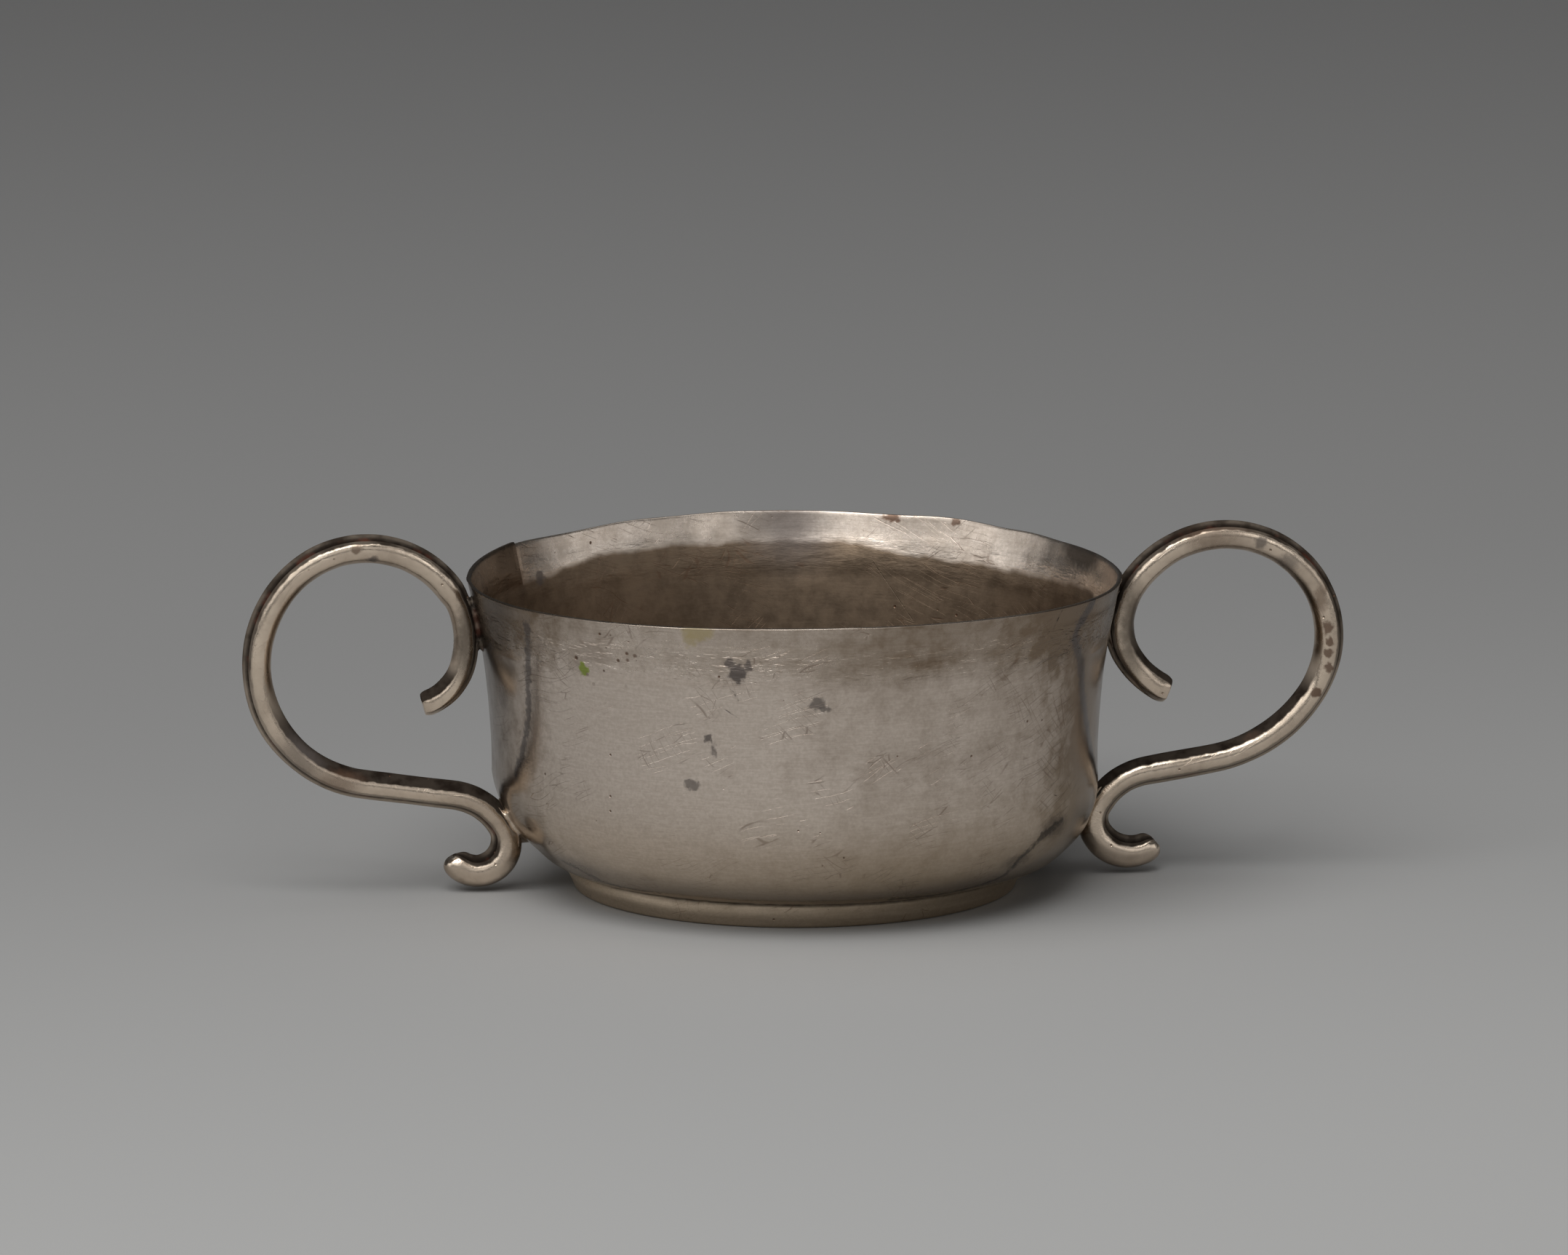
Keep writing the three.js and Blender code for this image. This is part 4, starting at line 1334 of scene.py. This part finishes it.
# Lamps: name, place, what it points at, width and depth in metres, its setting, and the share of it
LAMPS = [
    ("top_softbox", (-0.35, -0.5, 0.95), (0, -0.05, 0), 1.2, 0.9, "key", 1),
    ("left_panel", (-0.94, -1.17, 0.85), (0, 0, 0.35), 1.8, 1.0, "left", 1),
    ("right_panel", (0.55, -1.25, 0.62), (0, 0, 0.35), 0.25, 0.6, "right", 1),
    ("front_panel", (-0.2, -1.9, 0.55), (0, 0, 0.3), 2.8, 0.7, "front", 1),
    ("far_right_panel", (1.39, -0.8, 0.45), (0, 0, 0.2), 1.5, 0.7, "side", 1),
    ("behind_right_panel", (1.6, 0.0, 0.45), (0, 0, 0.2), 0.6, 0.7, "side", 0.2),
    ("far_left_panel", (-1.58, -0.33, 0.45), (0, 0, 0.2), 0.55, 0.7, "side", 0.7),
    ("behind_left_panel", (-1.6, 0.25, 0.45), (0, 0, 0.2), 0.55, 0.7, "side", 0.4),
    ("ceiling_panel", (0, 0, 1.5), (0, 0, 0), 2.0, 2.0, "ceiling", 1),
]

# The camera fitted to the photograph: its place and what it points at, in mm
CAMERA_PLACE = (-179.91, -1280.14, 275.72)
CAMERA_AIM = (-1.181, 0.165, 29.344)
SENSOR_WIDTH = 36
FLOOR_HALF = 8


def floor_material(studio):
    """Plain pale paper with painted light: lighter at the front, darker towards the back."""
    material, shader, mm, _ = new_material("pale_floor")
    x, y, _ = parts(mm)
    # Painted light: the floor's colour falls off from the front to the back.
    far = plus(y, times(x, -0.35))
    near = blend(span(far, -200, 180), rgba(studio.floor_front), rgba(studio.floor_middle))
    put(shader.inputs["Base Color"], blend(span(far, 200, 800), near, rgba(studio.floor_back)))
    shader.inputs["Roughness"].default_value = 0.9
    shader.inputs["Specular IOR Level"].default_value = 0.2
    return material


def set_down(name, data, place, aim=None):
    """Put an object in the scene, pointed at a place if one is given."""
    obj = bpy.data.objects.new(name, data)
    obj.location = place
    if aim is not None:
        obj.rotation_euler = (Vector(aim) - Vector(place)).to_track_quat("-Z", "Y").to_euler()
    bpy.context.scene.collection.objects.link(obj)
    return obj


class CUP_OT_stage(bpy.types.Operator):
    """Set the cup on a pale floor under soft lamps, and place the camera"""

    bl_idname = "cup.stage"
    bl_label = "Set the stage"

    def execute(self, context):
        scene, studio = context.scene, context.scene.cup_studio
        bm = bmesh.new()
        bmesh.ops.create_grid(bm, x_segments=8, y_segments=8, size=FLOOR_HALF)
        mesh = bpy.data.meshes.new("floor")
        bm.to_mesh(mesh)
        bm.free()
        mesh.materials.append(floor_material(studio))
        set_down("floor", mesh, ORIGIN)
        for name, place, aim, width, depth, setting, share in LAMPS:
            light = bpy.data.lights.new(name, "AREA")
            light.shape = "RECTANGLE"
            light.size, light.size_y = width, depth
            light.energy = getattr(studio, setting) * share
            set_down(name, light, place, aim)
        world = bpy.data.worlds.new("room")
        world.use_nodes = True
        world.node_tree.nodes["Background"].inputs["Color"].default_value = rgba(studio.room)
        scene.world = world
        lens = bpy.data.cameras.new("camera")
        lens.lens, lens.sensor_width = studio.lens, SENSOR_WIDTH
        scene.camera = set_down("camera", lens, Vector(CAMERA_PLACE) * MM, Vector(CAMERA_AIM) * MM)
        scene.view_settings.view_transform = "Standard"
        return {"FINISHED"}


class CUP_PT_panel(bpy.types.Panel):
    """Sizes and steps of the cup"""

    bl_label = "Silver cup"
    bl_idname = "CUP_PT_panel"
    bl_space_type = "VIEW_3D"
    bl_region_type = "UI"
    bl_category = "Cup"

    def draw(self, context):
        for title, settings in (
            ("Bowl", context.scene.cup_bowl), ("Handles", context.scene.cup_handles),
            ("Silver", context.scene.cup_colours), ("Studio", context.scene.cup_studio),
        ):
            box = self.layout.box()
            box.label(text=title)
            for name in settings.__annotations__:
                box.prop(settings, name)
        for step in STEPS:
            self.layout.operator(step.bl_idname)


STEPS = (CUP_OT_bowl, CUP_OT_handles, CUP_OT_solder, CUP_OT_stage)
SETTINGS = {
    "cup_bowl": BowlSizes, "cup_handles": HandleSizes,
    "cup_colours": SilverColours, "cup_studio": StudioSettings,
}


def register():
    for settings in SETTINGS.values():
        bpy.utils.register_class(settings)
    for step in (*STEPS, CUP_PT_panel):
        bpy.utils.register_class(step)
    for name, settings in SETTINGS.items():
        setattr(bpy.types.Scene, name, bpy.props.PointerProperty(type=settings))


def unregister():
    for name in SETTINGS:
        delattr(bpy.types.Scene, name)
    for step in (*STEPS, CUP_PT_panel):
        bpy.utils.unregister_class(step)
    for settings in SETTINGS.values():
        bpy.utils.unregister_class(settings)


def main():
    """Build the cup on its stage."""
    register()
    bpy.ops.cup.bowl()
    bpy.ops.cup.handles()
    bpy.ops.cup.solder()
    bpy.ops.cup.stage()


if __name__ == "__main__":
    main()
